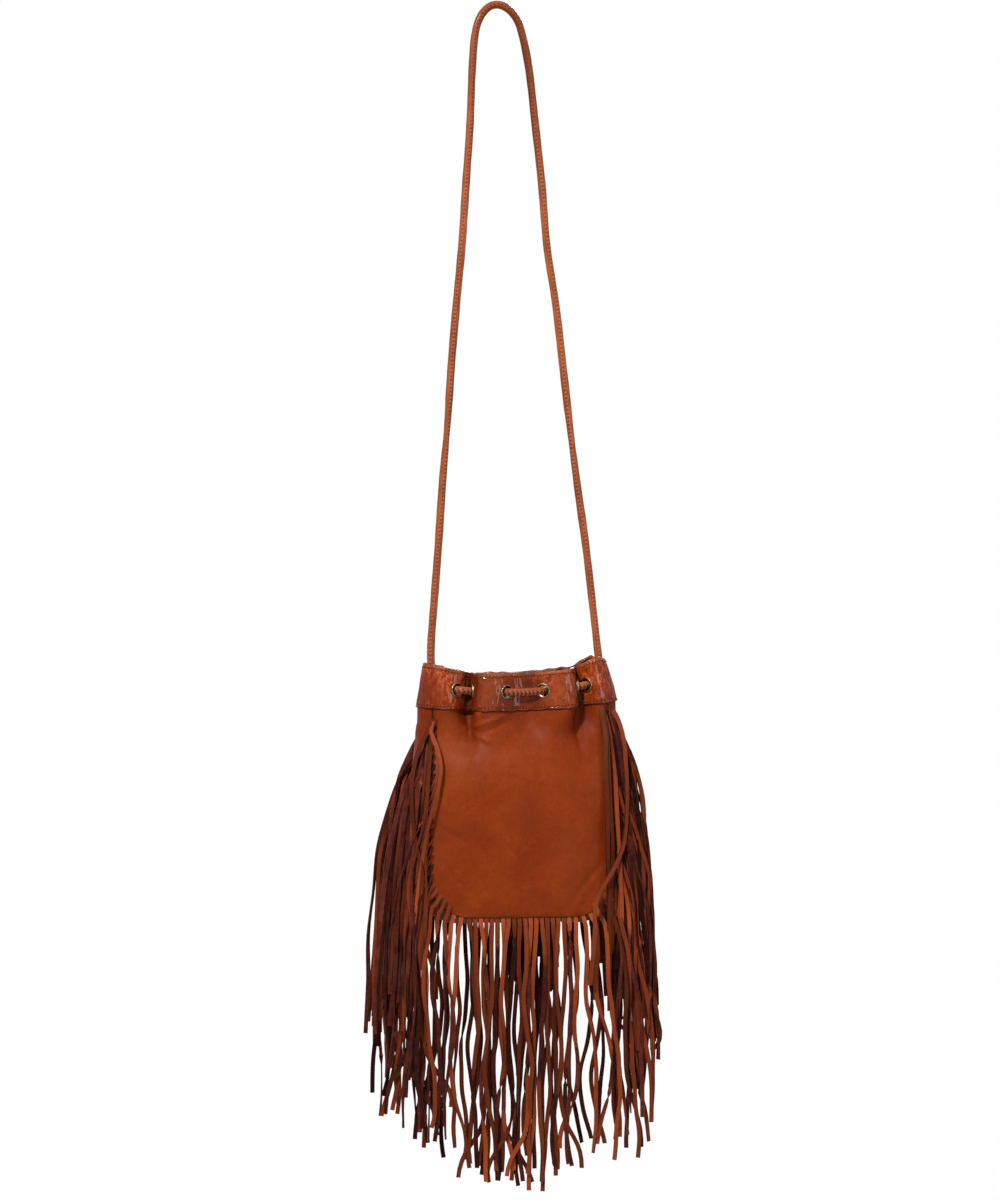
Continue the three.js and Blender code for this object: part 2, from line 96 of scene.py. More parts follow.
def splinePoints(pts, k, closed):
    # centripetal spline through pts at fractional index k
    n = len(pts)
    k = np.asarray(k, float)
    if closed:
        k = k % n
        i = np.floor(k).astype(int) % n
        p0, p1, p2, p3 = pts[(i - 1) % n], pts[i], pts[(i + 1) % n], pts[(i + 2) % n]
    else:
        i = np.clip(np.floor(k).astype(int), 0, n - 2)
        ext = np.vstack([2 * pts[0] - pts[1], pts, 2 * pts[-1] - pts[-2]])
        p0, p1, p2, p3 = ext[i], ext[i + 1], ext[i + 2], ext[i + 3]
    t = (k - np.floor(k) if closed else k - i)[..., None]
    d0 = np.sqrt(np.linalg.norm(p1 - p0, axis=-1))[..., None]
    d1 = np.sqrt(np.linalg.norm(p2 - p1, axis=-1))[..., None]
    d2 = np.sqrt(np.linalg.norm(p3 - p2, axis=-1))[..., None]
    m1 = ((p1 - p0) / d0 - (p2 - p0) / (d0 + d1) + (p2 - p1) / d1) * d1
    m2 = ((p2 - p1) / d1 - (p3 - p1) / (d1 + d2) + (p3 - p2) / d2) * d1
    c2 = -3 * p1 + 3 * p2 - 2 * m1 - m2
    c3 = 2 * p1 - 2 * p2 + m1 + m2
    return p1 + m1 * t + c2 * t ** 2 + c3 * t ** 3


def planAt(k):
    return splinePoints(planPoints, k, True)


def planNormal(k):
    k = np.asarray(k, float)
    d = planAt(k + 0.25) - planAt(k - 0.25)
    d /= np.linalg.norm(d, axis=-1, keepdims=True)
    return np.stack([d[..., 1], -d[..., 0]], -1)


def topZ(x):
    return bag["collarTop"] + 0.028 * x + 8.5 * (x / 80) ** 2


def lowZ(x):
    return bag["collarLow"] + 0.032 * x + 5.5 * (x / 80) ** 2


def collarHeight(k):
    x = planAt(k)[..., 0]
    return topZ(x) - lowZ(x)


def collarAt(k, s, off=0.0):
    p, n = planAt(k), planNormal(k)
    s = np.asarray(s, float)
    grow = 1 + bag["taper"] * (0.5 - s)
    z = lowZ(p[..., 0]) + (topZ(p[..., 0]) - lowZ(p[..., 0])) * s
    x = bag["midX"] + p[..., 0] * grow + n[..., 0] * off
    y = p[..., 1] * (1 - 0.12 * (s - 0.5)) + n[..., 1] * off
    return np.stack([x, y, z], -1)


cornerZ = bag["lowZ"] + bag["corner"]


def seamHalf(z):
    z = np.asarray(z, float)
    t = np.clip((bag["topZ"] - z) / 110, 0, 1)
    wide = bag["halfTop"] + (bag["half"] - bag["halfTop"]) * np.sin(t * math.pi / 2)
    d = np.clip((cornerZ - z) / bag["corner"], 0, 1)
    return np.where(z >= cornerZ, wide, wide - bag["corner"] * (1 - np.sqrt(np.maximum(0, 1 - d * d))))


def seamDepth(z):
    return 15.5 + (bag["depth"] - 15.5) * smooth((bag["topZ"] - z) / 75)


def wave(i, a):
    return math.sin(i * 12.9898 + a * 78.233) * 0.5 + math.sin(i * 4.1414 + a * 37.719) * 0.5


def fuzz(points, scale, seed=0.0):
    # smooth noise at many points, about -1 to 1
    out = np.empty(len(points))
    for i, p in enumerate(points):
        out[i] = noise.noise(Vector((p[0] * scale + seed, p[1] * scale - seed, p[2] * scale + 2 * seed)))
    return out


# node helpers
def fill(tree, node, values):
    # values and links into a node, by the input's label or number
    for slot, value in values.items():
        if isinstance(value, bpy.types.NodeSocket):
            tree.links.new(value, node.inputs[slot])
        elif value is not None:
            node.inputs[slot].default_value = value
    return node


def addNode(tree, kind, values=None, **settings):
    node = tree.nodes.new(kind)
    for label, setting in settings.items():
        setattr(node, label, setting)
    return fill(tree, node, values or {})


def newGroup(name, kind, inputs, outputs):
    tree = bpy.data.node_groups.new(name, kind)
    for label, socket, value in inputs:
        s = tree.interface.new_socket(label, in_out="INPUT", socket_type="NodeSocket" + socket)
        if value is not None:
            s.default_value = value
    for label, socket in outputs:
        tree.interface.new_socket(label, in_out="OUTPUT", socket_type="NodeSocket" + socket)
    return tree, tree.nodes.new("NodeGroupInput").outputs, tree.nodes.new("NodeGroupOutput")


def mathNode(tree, operation, a, b=None, c=None, clamp=False):
    node = addNode(tree, "ShaderNodeMath", {0: a, 1: b, 2: c}, operation=operation, use_clamp=clamp)
    return node.outputs[0]


def times(tree, a, b, clamp=False):
    return mathNode(tree, "MULTIPLY", a, b, clamp=clamp)


def mixColour(tree, fac, a, b, mode="MIX"):
    return addNode(tree, "ShaderNodeMix", {0: fac, 6: a, 7: b}, data_type="RGBA", blend_type=mode).outputs[2]


def noiseNode(tree, vector, scale, detail=3.0, rough=0.55, warp=0.0):
    node = addNode(tree, "ShaderNodeTexNoise", {
        "Vector": vector, "Scale": scale, "Detail": detail, "Roughness": rough, "Distortion": warp})
    return node.outputs["Fac"]


def rampNode(tree, fac, stops):
    # stops as place and grey, or place and colour
    node = addNode(tree, "ShaderNodeValToRGB", {0: fac})
    while len(node.color_ramp.elements) < len(stops):
        node.color_ramp.elements.new(0.5)
    for stop, (place, tint) in zip(node.color_ramp.elements, stops):
        stop.position = place
        stop.color = (*tint, 1) if isinstance(tint, tuple) else (tint, tint, tint, 1)
    return node.outputs[0]


def bumpNode(tree, height, strength, distance):
    return addNode(tree, "ShaderNodeBump", {
        "Height": height, "Strength": strength, "Distance": distance}).outputs["Normal"]


def attributeNode(tree, name):
    return addNode(tree, "ShaderNodeAttribute", attribute_name=name).outputs["Fac"]


# mottled waxed leather: colour, roughness, bump
def buildWaxed():
    tree, gin, gout = newGroup(
        "waxedLeather", "ShaderNodeTree",
        [("Vector", "Vector", None), ("Base", "Color", (0.27, 0.05, 0.012, 1)),
         ("Deep", "Color", (0.13, 0.02, 0.006, 1)), ("Pale", "Color", (0.42, 0.12, 0.05, 1)),
         ("WearAndSheen", "Float", 0.0), ("Grain", "Float", 1.0), ("Crease", "Float", 1.0),
         ("Upright", "Float", 1.0), ("Mottle", "Float", 1.0), ("PullUpAndCreaseShade", "Float", 0.0)],
        [("Color", "Color"), ("Roughness", "Float"), ("Normal", "Vector")])
    vec = gin["Vector"]
    squash = addNode(tree, "ShaderNodeCombineXYZ", {"X": 1, "Y": 1, "Z": gin["Upright"]})
    upright = addNode(tree, "ShaderNodeVectorMath", {0: vec, 1: squash.outputs[0]}, operation="MULTIPLY")
    broad = noiseNode(tree, vec, 17, 4, 0.6, 0.4)
    patch = noiseNode(tree, vec, 62, 5, 0.62, 0.8)
    fine = noiseNode(tree, vec, 420, 3, 0.6)
    # broad shade, blotches and pale spots, as strong as Mottle says
    col = gin["Base"]
    for source, stops, amount, tint in (
            (broad, [(0.36, 0.8), (0.62, 0)], 0.42, "Deep"), (patch, [(0.5, 0), (0.78, 1)], 0.3, "Deep"),
            (patch, [(0.22, 1), (0.42, 0)], 0.16, "Pale")):
        shade = times(tree, rampNode(tree, source, stops), amount)
        col = mixColour(tree, times(tree, shade, gin["Mottle"], True), col, gin[tint])
    col = mixColour(tree, 1.0, col, rampNode(tree, fine, [(0.35, 0.92), (0.65, 1.05)]), "MULTIPLY")
    # paler where the mesh asks: real wear and painted highlight
    col = mixColour(tree, gin["WearAndSheen"], col, gin["Pale"])
    # creased patches are pale on the ridge, partly real pull-up lightening and partly painted highlight, and
    # dark in the furrow as painted shade
    crease = noiseNode(tree, upright.outputs[0], 120, 6, 0.7, 1.6)
    pullUpAndHighlight = times(tree, rampNode(tree, broad, [(0.42, 0), (0.6, 1)]), gin["PullUpAndCreaseShade"])
    ridge = rampNode(tree, crease, [(0.52, 0), (0.56, 1), (0.60, 0)])
    col = mixColour(tree, times(tree, ridge, pullUpAndHighlight, True), col, gin["Pale"])
    furrow = rampNode(tree, crease, [(0.34, 0.8), (0.46, 0)])
    col = mixColour(tree, times(tree, furrow, gin["PullUpAndCreaseShade"], True), col, gin["Deep"])
    cells = addNode(tree, "ShaderNodeTexVoronoi", {"Vector": vec, "Scale": 760}, feature="DISTANCE_TO_EDGE")
    pore = rampNode(tree, cells.outputs["Distance"], [(0.0, 0), (0.12, 1)])
    grain = mathNode(tree, "ADD", times(tree, pore, 0.35), times(tree, fine, 0.55))
    folds = times(tree, times(tree, crease, 3.2), gin["Crease"])
    height = mathNode(tree, "ADD", times(tree, grain, gin["Grain"]), folds)
    rough = mathNode(tree, "MULTIPLY_ADD", fine, 0.08, mathNode(tree, "MULTIPLY_ADD", patch, 0.3, 0.32))
    fill(tree, gout, {"Color": col, "Roughness": rough, "Normal": bumpNode(tree, height, 0.5, 0.00022)})
    return tree


# napped flesh side: colour, roughness, bump
def buildSuede():
    tree, gin, gout = newGroup(
        "suedeNap", "ShaderNodeTree",
        [("Vector", "Vector", None), ("Base", "Color", (0.07, 0.02, 0.018, 1)),
         ("Light", "Color", (0.16, 0.06, 0.05, 1)), ("Nap", "Float", 1.0)],
        [("Color", "Color"), ("Roughness", "Float"), ("Normal", "Vector")])
    vec = gin["Vector"]
    stretch = addNode(tree, "ShaderNodeMapping", {"Vector": vec, "Scale": (1, 1, 0.3)})
    fibre = noiseNode(tree, stretch.outputs[0], 1500, 3, 0.7)
    brushed = noiseNode(tree, vec, 95, 4, 0.6, 0.6)
    lifted = rampNode(tree, times(tree, brushed, fibre), [(0.16, 0), (0.38, 1)])
    col = mixColour(tree, times(tree, lifted, 0.6), gin["Base"], gin["Light"])
    normal = bumpNode(tree, times(tree, fibre, gin["Nap"]), 0.6, 0.0003)
    rough = mathNode(tree, "MULTIPLY_ADD", fibre, 0.12, 0.8)
    fill(tree, gout, {"Color": col, "Roughness": rough, "Normal": normal})
    return tree


waxed = buildWaxed()
suede = buildSuede()


def startMaterial(name):
    mat = bpy.data.materials.new(name)
    mat.use_nodes = True
    tree = mat.node_tree
    return mat, tree, tree.nodes["Principled BSDF"], tree.nodes.new("ShaderNodeTexCoord").outputs["Object"]


def groupMaterial(name, group, values):
    # a material whose colour, roughness and normal come from one of the groups
    mat, tree, shader, place = startMaterial(name)
    g = addNode(tree, "ShaderNodeGroup", {"Vector": place, **values}, node_tree=group)
    fill(tree, shader, {"Roughness": g.outputs["Roughness"], "Normal": g.outputs["Normal"]})
    return mat, tree, shader, g


def leatherMaterial(name, base, deep, pale, grain=1.0, crease=1.0, coat=0.0, gloss=0.06, upright=1.0,
                    mottle=1.0, pullUpAndCreaseShade=0.0, polish=0.13):
    mat, tree, shader, g = groupMaterial(name, waxed, {
        "Base": (*base, 1), "Deep": (*deep, 1), "Pale": (*pale, 1), "Grain": grain, "Crease": crease,
        "Upright": upright, "Mottle": mottle, "PullUpAndCreaseShade": pullUpAndCreaseShade})
    fill(tree, g, {"WearAndSheen": attributeNode(tree, "wearAndSheen")})
    # cut edges are burnished darker, and the floors of the folds get painted shade
    burnishAndShadeTint = (*[v * 0.45 for v in deep], 1)
    fill(tree, shader, {
        "Base Color": mixColour(tree, attributeNode(tree, "burnishAndShade"), g.outputs["Color"], burnishAndShadeTint),
        "Coat Weight": coat, "Coat Roughness": polish, "Specular IOR Level": gloss})
    return mat


panelLeather = leatherMaterial(
    "waxedTan", base=(0.275, 0.039, 0.004), deep=(0.15, 0.018, 0.003), pale=(0.42, 0.10, 0.035), grain=0.7,
    crease=0.6, coat=0.05, mottle=1.5, pullUpAndCreaseShade=0.1, polish=0.4)
collarLeather = leatherMaterial(
    "waxedTanCollar", base=(0.32, 0.036, 0.001), deep=(0.07, 0.006, 0.001), pale=(0.64, 0.19, 0.07),
    grain=1.2, crease=4.6, coat=0.24, gloss=0.03, upright=0.7, mottle=1.5, pullUpAndCreaseShade=0.9, polish=0.08)
cordLeather = leatherMaterial(
    "waxedTanCord", base=(0.43, 0.11, 0.036), deep=(0.14, 0.026, 0.008), pale=(0.62, 0.28, 0.19), grain=1.2,
    crease=1.4, coat=0.1, gloss=0.08, mottle=1.6)


def fleshMaterial(name, base, light):
    mat, tree, shader, g = groupMaterial(name, suede, {"Base": (*base, 1), "Light": (*light, 1)})
    gain = mathNode(tree, "MULTIPLY_ADD", attributeNode(tree, "tone"), 1.25, 0.22)
    fill(tree, shader, {
        "Base Color": mixColour(tree, 1.0, g.outputs["Color"], gain, "MULTIPLY"),
        "Sheen Weight": 0.03, "Sheen Roughness": 0.5, "Specular IOR Level": 0.02})
    return mat


def grainMaterial(name):
    mat, tree, shader, g = groupMaterial(name, waxed, {
        "Base": (0.25, 0.046, 0.012, 1), "Deep": (0.10, 0.019, 0.009, 1),
        "Pale": (0.36, 0.11, 0.05, 1), "Grain": 1.0})
    gain = mathNode(tree, "MULTIPLY_ADD", attributeNode(tree, "tone"), 1.2, 0.38)
    col = mixColour(tree, 1.0, g.outputs["Color"], gain, "MULTIPLY")
    # painted shade: deeper brown at the height where the lower thongs crowd together
    place = addNode(tree, "ShaderNodeTexCoord").outputs["Object"]
    height = addNode(tree, "ShaderNodeSeparateXYZ", {0: place}).outputs["Z"]
    fall = mathNode(tree, "MULTIPLY_ADD", height, -5.0, -4.0, clamp=True)
    crowdShadeTint = (0.7, 0.7, 0.72)
    crowdShade = rampNode(tree, fall, [(0.0, 1), (0.3, crowdShadeTint), (0.65, crowdShadeTint), (0.95, 1)])
    col = mixColour(tree, 1.0, col, crowdShade, "MULTIPLY")
    fill(tree, shader, {"Base Color": col, "Specular IOR Level": 0.07})
    return mat


fleshSide = fleshMaterial("suedeFlesh", (0.055, 0.009, 0.006), (0.15, 0.040, 0.030))
insideSuede = fleshMaterial("suedeInside", (0.10, 0.035, 0.02), (0.2, 0.085, 0.05))
grainSide = grainMaterial("thongGrain")


def threadMaterial():
    mat, tree, shader, place = startMaterial("waxedThread")
    twist = addNode(tree, "ShaderNodeTexWave", {"Vector": place, "Scale": 900, "Distortion": 2})
    col = mixColour(tree, twist.outputs["Fac"], (0.08, 0.013, 0.003, 1), (0.24, 0.045, 0.010, 1))
    fill(tree, shader, {"Base Color": col, "Roughness": 0.6, "Specular IOR Level": 0.08})
    return mat


def brassMaterial():
    mat, tree, shader, place = startMaterial("agedBrass")
    stain = noiseNode(tree, place, 520, 5, 0.65, 0.8)
    fill(tree, shader, {
        "Base Color": rampNode(tree, stain, [
            (0.3, (0.05, 0.034, 0.018)), (0.5, (0.2, 0.15, 0.09)), (0.75, (0.42, 0.35, 0.25))]),
        "Metallic": 1.0, "Roughness": mathNode(tree, "MULTIPLY_ADD", stain, 0.3, 0.16),
        "Normal": bumpNode(tree, stain, 0.3, 0.0001)})
    return mat


thread = threadMaterial()
agedBrass = brassMaterial()
print("materials ready")


# mesh helpers
def addPiece(name, mesh, mats, nodesReplaced):
    obj = bpy.data.objects.new(name, mesh)
    scene.collection.objects.link(obj)
    for m in mats:
        if m.name not in [x.name for x in mesh.materials if x]:
            mesh.materials.append(m)
    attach(obj, "root")
    if nodesReplaced:
        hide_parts(*nodesReplaced)
    return obj


def meshFrom(name, verts, faces, faceMats=None, floats=None, sharp=None):
    mesh = bpy.data.meshes.new(name)
    mesh.from_pydata((np.asarray(verts) * mm).tolist(), [], faces)
    mesh.update()
    mesh.polygons.foreach_set("use_smooth", [True] * len(mesh.polygons))
    if faceMats is not None:
        mesh.polygons.foreach_set("material_index", faceMats)
    for label, values in (floats or {}).items():
        a = mesh.attributes.new(label, "FLOAT", "POINT")
        a.data.foreach_set("value", np.asarray(values, np.float32))
    if sharp:
        mesh.set_sharp_from_angle(angle=math.radians(sharp))
    return mesh


def unit(v):
    return v / np.linalg.norm(v)


def tubeFaces(rings, sides, closed=False, base=0):
    # quads between rings of points; a closed tube joins its last ring to the first
    faces = []
    for i in range(rings if closed else rings - 1):
        a, b = base + i * sides, base + (i + 1) % rings * sides
        for j in range(sides):
            k = (j + 1) % sides
            faces.append((a + j, a + k, b + k, b + j))
    return faces


def gridNormals(p, at, want):
    # all turned so that the one at this place looks the wanted way
    n = np.cross(np.gradient(p, axis=1), np.gradient(p, axis=0))
    n = n / (np.linalg.norm(n, axis=-1, keepdims=True) + 1e-12)
    return n if n[at].dot(want) >= 0 else -n


def sheetMesh(name, mid, normals, thick, floats):
    # outer and inner skins with a rounded cut edge; material 0 outside and edges, 1 inside
    rows, cols = mid.shape[:2]
    outer = (mid + normals * thick / 2).reshape(-1, 3)
    inner = (mid - normals * thick / 2).reshape(-1, 3)
    verts = np.vstack([outer, inner])
    n = rows * cols
    faces, mats = [], []
    for i in range(rows - 1):
        for j in range(cols - 1):
            a = i * cols + j
            faces.append((a, a + cols, a + cols + 1, a + 1))
            faces.append((n + a, n + a + 1, n + a + cols + 1, n + a + cols))
            mats += [0, 1]
    ring = list(range(cols)) + [i * cols + cols - 1 for i in range(1, rows)]
    ring += [(rows - 1) * cols + j for j in range(cols - 2, -1, -1)]
    ring += [i * cols for i in range(rows - 2, 0, -1)]
    edge = np.array(ring)
    mids = (verts[edge] + verts[edge + n]) / 2
    row, col = np.clip(edge // cols, 1, rows - 2), np.clip(edge % cols, 1, cols - 2)
    out = mids - mid.reshape(-1, 3)[row * cols + col]
    out /= np.linalg.norm(out, axis=1, keepdims=True) + 1e-9
    base = len(verts)
    verts = np.vstack([verts, mids + out * thick * 0.35])
    m = len(ring)
    for q in range(m):
        a, b = ring[q], ring[(q + 1) % m]
        e0, e1 = base + q, base + (q + 1) % m
        faces.append((a, b, e1, e0))
        faces.append((e0, e1, n + b, n + a))
        mats += [0, 0]
    values = {}
    for label, v in floats.items():
        flat = v.reshape(-1)
        rim = np.full(m, 0.9) if label == "burnishAndShade" else flat[edge]
        values[label] = np.concatenate([flat, flat, rim])
    return meshFrom(name, verts, faces, mats, values)


# carrying cord: laced along the front, up as the strap, down again and laced along the back
cordSettings = dict(radius=3.15, sides=26, step=0.75, seamPitch=3.3, plait=0.3, flat=0.1)
frontRun = [
    (-54, -3, -587), (-50.5, -7.5, -582), (-44, -10.8, -579.3), (-37.9, -15.7, -579.1),
    (-33, -19.2, -579.4), (-27.8, -18.4, -579.8), (-21.8, -15.6, -580.3), (-15.5, -15, -580.7),
    (-9, -16.7, -581), (-2.6, -20, -581), (3.2, -25, -581), (8.4, -28.7, -581), (14, -29.3, -581),
    (20, -29.6, -580.8), (26, -29.2, -580.4), (31, -28.3, -580.1), (36.2, -24.4, -579.8),
    (42.2, -19.5, -579.3), (49, -17, -578.6), (56, -16.2, -577.8), (64, -16.8, -576.9),
    (69.8, -16.2, -576), (75.5, -13, -575.2), (80.3, -9.2, -574.1), (84.6, -5, -570.8),
    (87.2, -1.6, -564.5),
]
strapRun = [(x, 0, z) for x, z in (
    (88, -556), (86.4, -541), (82.6, -507.5), (76.6, -456.5), (69.3, -405), (62.8, -354.5),
    (56.8, -303.5), (50.8, -252.5), (43, -201.5), (38.7, -150.5), (33.1, -99.5), (27.1, -48.5),
    (21.9, -23), (18, -11), (12.3, -3), (6, 1.6), (0, 2.9), (-5.6, 1.6), (-11.4, -3.4), (-15.8, -11),
    (-18.9, -23), (-21.1, -48.5), (-23.2, -99.5), (-26.7, -150.5), (-30.1, -201.5), (-34.9, -252.5),
    (-39.2, -303.5), (-42.6, -354.5), (-46.9, -405), (-50.3, -456.5), (-54.2, -507.5), (-56.6, -541),
    (-56.6, -556),
)]
backRun = [
    (-55, 1.8, -565.5), (-51.6, 5.4, -573.5), (-44.2, 9.6, -578.7),
    *((x, -y, z) for x, y, z in frontRun[3:-3]),
    (80.5, 9.4, -577), (84.4, 6, -581.5), (86.5, 4, -587),
]


def resample(pts, step):
    seg = np.linalg.norm(np.diff(pts, axis=0), axis=1)
    s = runningSum(seg)
    n = max(2, int(round(s[-1] / step)) + 1)
    t = np.linspace(0, s[-1], n)
    return np.stack([np.interp(t, s, pts[:, c]) for c in range(3)], 1), s[-1]


def transported(path, first):
    # tangents and side vectors carried along without twist
    tan = np.gradient(path, axis=0)
    tan /= np.linalg.norm(tan, axis=1, keepdims=True)
    side = np.empty_like(path)
    v = np.asarray(first, float)
    for i, t in enumerate(tan):
        v = unit(v - t * v.dot(t))
        side[i] = v
    return tan, side, np.cross(tan, side)


def makeCord():
    control = np.array(frontRun + strapRun + backRun, float)
    dense = splinePoints(control, np.linspace(0, len(control) - 1, 5000), False)
    path, length = resample(dense, cordSettings["step"])
    side, up = transported(path, (0, -1, 0))[1:]
    # the seam wanders round to the front of the strap
    z = path[:, 2]
    need = np.unwrap(np.arctan2(-up[:, 1], -side[:, 1])) + 0.45 * np.sin(z / 47.0)
    strap = smooth((z + 578) / 30)[:, None]
    need = need[:, None] * strap
    side, up = side * np.cos(need) + up * np.sin(need), up * np.cos(need) - side * np.sin(need)
    sides, r = cordSettings["sides"], cordSettings["radius"]
    ang = np.arange(sides) * 2 * math.pi / sides
    along = np.arange(len(path)) * cordSettings["step"]
    around = (ang + math.pi) % (2 * math.pi) - math.pi
    lump = 0.07 * np.sin(along / 9.0) + 0.05 * np.sin(along / 3.7 + 1.3)
    # chevrons meet in a groove, and fade toward the back of the cord
    chevron = np.cos(2 * math.pi * along[:, None] / cordSettings["seamPitch"] + 2.6 * np.abs(around)[None, :])
    front = np.exp(-(around[None, :] / (0.95 - 0.6 * strap)) ** 4)
    groove = np.exp(-(around / 0.16) ** 2)[None, :] * (1 - 0.7 * strap)
    groove = groove + np.exp(-((around[None, :] + 0.75) / 0.17) ** 2) * strap
    # a little flat, with half a turn in each side of the strap
    turn = math.pi / 2 + math.pi * smooth((z + 440) / 120)
    oval = r * cordSettings["flat"] * np.cos(2 * (ang[None, :] - turn[:, None]))
    plait = cordSettings["plait"] * (1 - 0.55 * strap) * chevron * front
    rad = r - 0.12 + oval + lump[:, None] + plait - 0.3 * groove
    spokes = side[:, None, :] * np.cos(ang)[None, :, None] + up[:, None, :] * np.sin(ang)[None, :, None]
    verts = path[:, None, :] + spokes * rad[..., None]
    faces = tubeFaces(len(path), sides)
    faces.append(tuple(range(sides - 1, -1, -1)))
    last = (len(path) - 1) * sides
    faces.append(tuple(last + j for j in range(sides)))
    # painted shade in the chevron troughs and the seam groove, painted highlight on the chevron crests, and
    # darker on the upper part of the strap
    upperStrapDark = ((0.42 + 0.2 * smooth(path[:, 0] / 20)) * smooth((z + 150) / 110))[:, None]
    dark = np.clip((0.8 - 0.2 * strap) * front * smooth(-chevron) + 0.45 * groove + upperStrapDark, 0, 0.9)
    pale = 0.6 * front * smooth(chevron - 0.2) * (1 - 1.4 * upperStrapDark)
    values = dict(burnishAndShade=dark.reshape(-1), wearAndSheen=pale.reshape(-1))
    mesh = meshFrom("carryCord", verts.reshape(-1, 3), faces, None, values)
    return mesh, path, length, side * (r - 0.36 + oval[:, :1])


cordMesh, cordPath, cordLength, cordSeam = makeCord()
carryCord = addPiece("carryCord", cordMesh, [cordLeather], ["carry_cord"])
print("cord length", round(cordLength))

knotSettings = dict(radius=3.6, tube=1.9, rings=72, sides=12)
knotVerts, knotFaces = [], []
for end in (cordPath[0], cordPath[-1]):
    t = np.linspace(0, 2 * math.pi, knotSettings["rings"], endpoint=False)
    loop = np.stack([
        np.sin(t) + 1.1 * np.sin(2 * t), np.cos(t) - 1.1 * np.cos(2 * t), -0.9 * np.sin(3 * t)], 1)
    loop = loop * knotSettings["radius"] * 0.62 + end + np.array([0, 0, -2.0])
    ls, lu = transported(np.vstack([loop, loop[:1]]), (0.3, 0.2, 1))[1:]
    base = len(knotVerts)
    for i in range(knotSettings["rings"]):
        for j in range(knotSettings["sides"]):
            a = 2 * math.pi * j / knotSettings["sides"]
            knotVerts.append(loop[i] + (ls[i] * math.cos(a) + lu[i] * math.sin(a)) * knotSettings["tube"])
    knotFaces += tubeFaces(knotSettings["rings"], knotSettings["sides"], True, base)
knotValues = dict(burnishAndShade=np.full(len(knotVerts), 0.2), wearAndSheen=np.zeros(len(knotVerts)))
knotMesh = meshFrom("cordKnots", knotVerts, knotFaces, None, knotValues)
cordKnots = addPiece("cordKnots", knotMesh, [cordLeather], ["carry_cord"])


# collar, a folded band with puckered stitch lines and creased folds
collarSettings = dict(
    around=620, outerRows=34, foldRows=7, innerRows=18, stitchLow=2.6, stitchTop=2.8, pucker=0.5, pitch=2.7,
    crease=0.62, creaseScale=0.11,
)
eyelets = dict(
    stations=[2.6, 6.5, 11.2, 14.8, 19.4, 22.7], outer=6.4, bore=4.9, tube=5.4, hole=5.35,
    holeDeep=3.6, around=56,
)
eyelets["all"] = eyelets["stations"] + [2 * frontCount + sideCount - 1 - k for k in eyelets["stations"]]


def collarWorn(k, s, off):
    # the upper edge lifts at the corners and leans in at the right
    pts = collarAt(k, s, off)
    x = planAt(k)[:, 0]
    rise = 4.6 * smooth((x - 48) / 26) * (1 - 0.75 * smooth((x - 73) / 9))
    rise += 1.5 * smooth((-x - 55) / 20) - 1.5 * hill(x, -38, 12)
    pts[:, 2] += rise * smooth((s - 0.55) / 0.45)
    pts[:, 0] -= 4.5 * smooth((x - 45) / 35) * np.clip(s, 0, 1) ** 1.5
    return pts


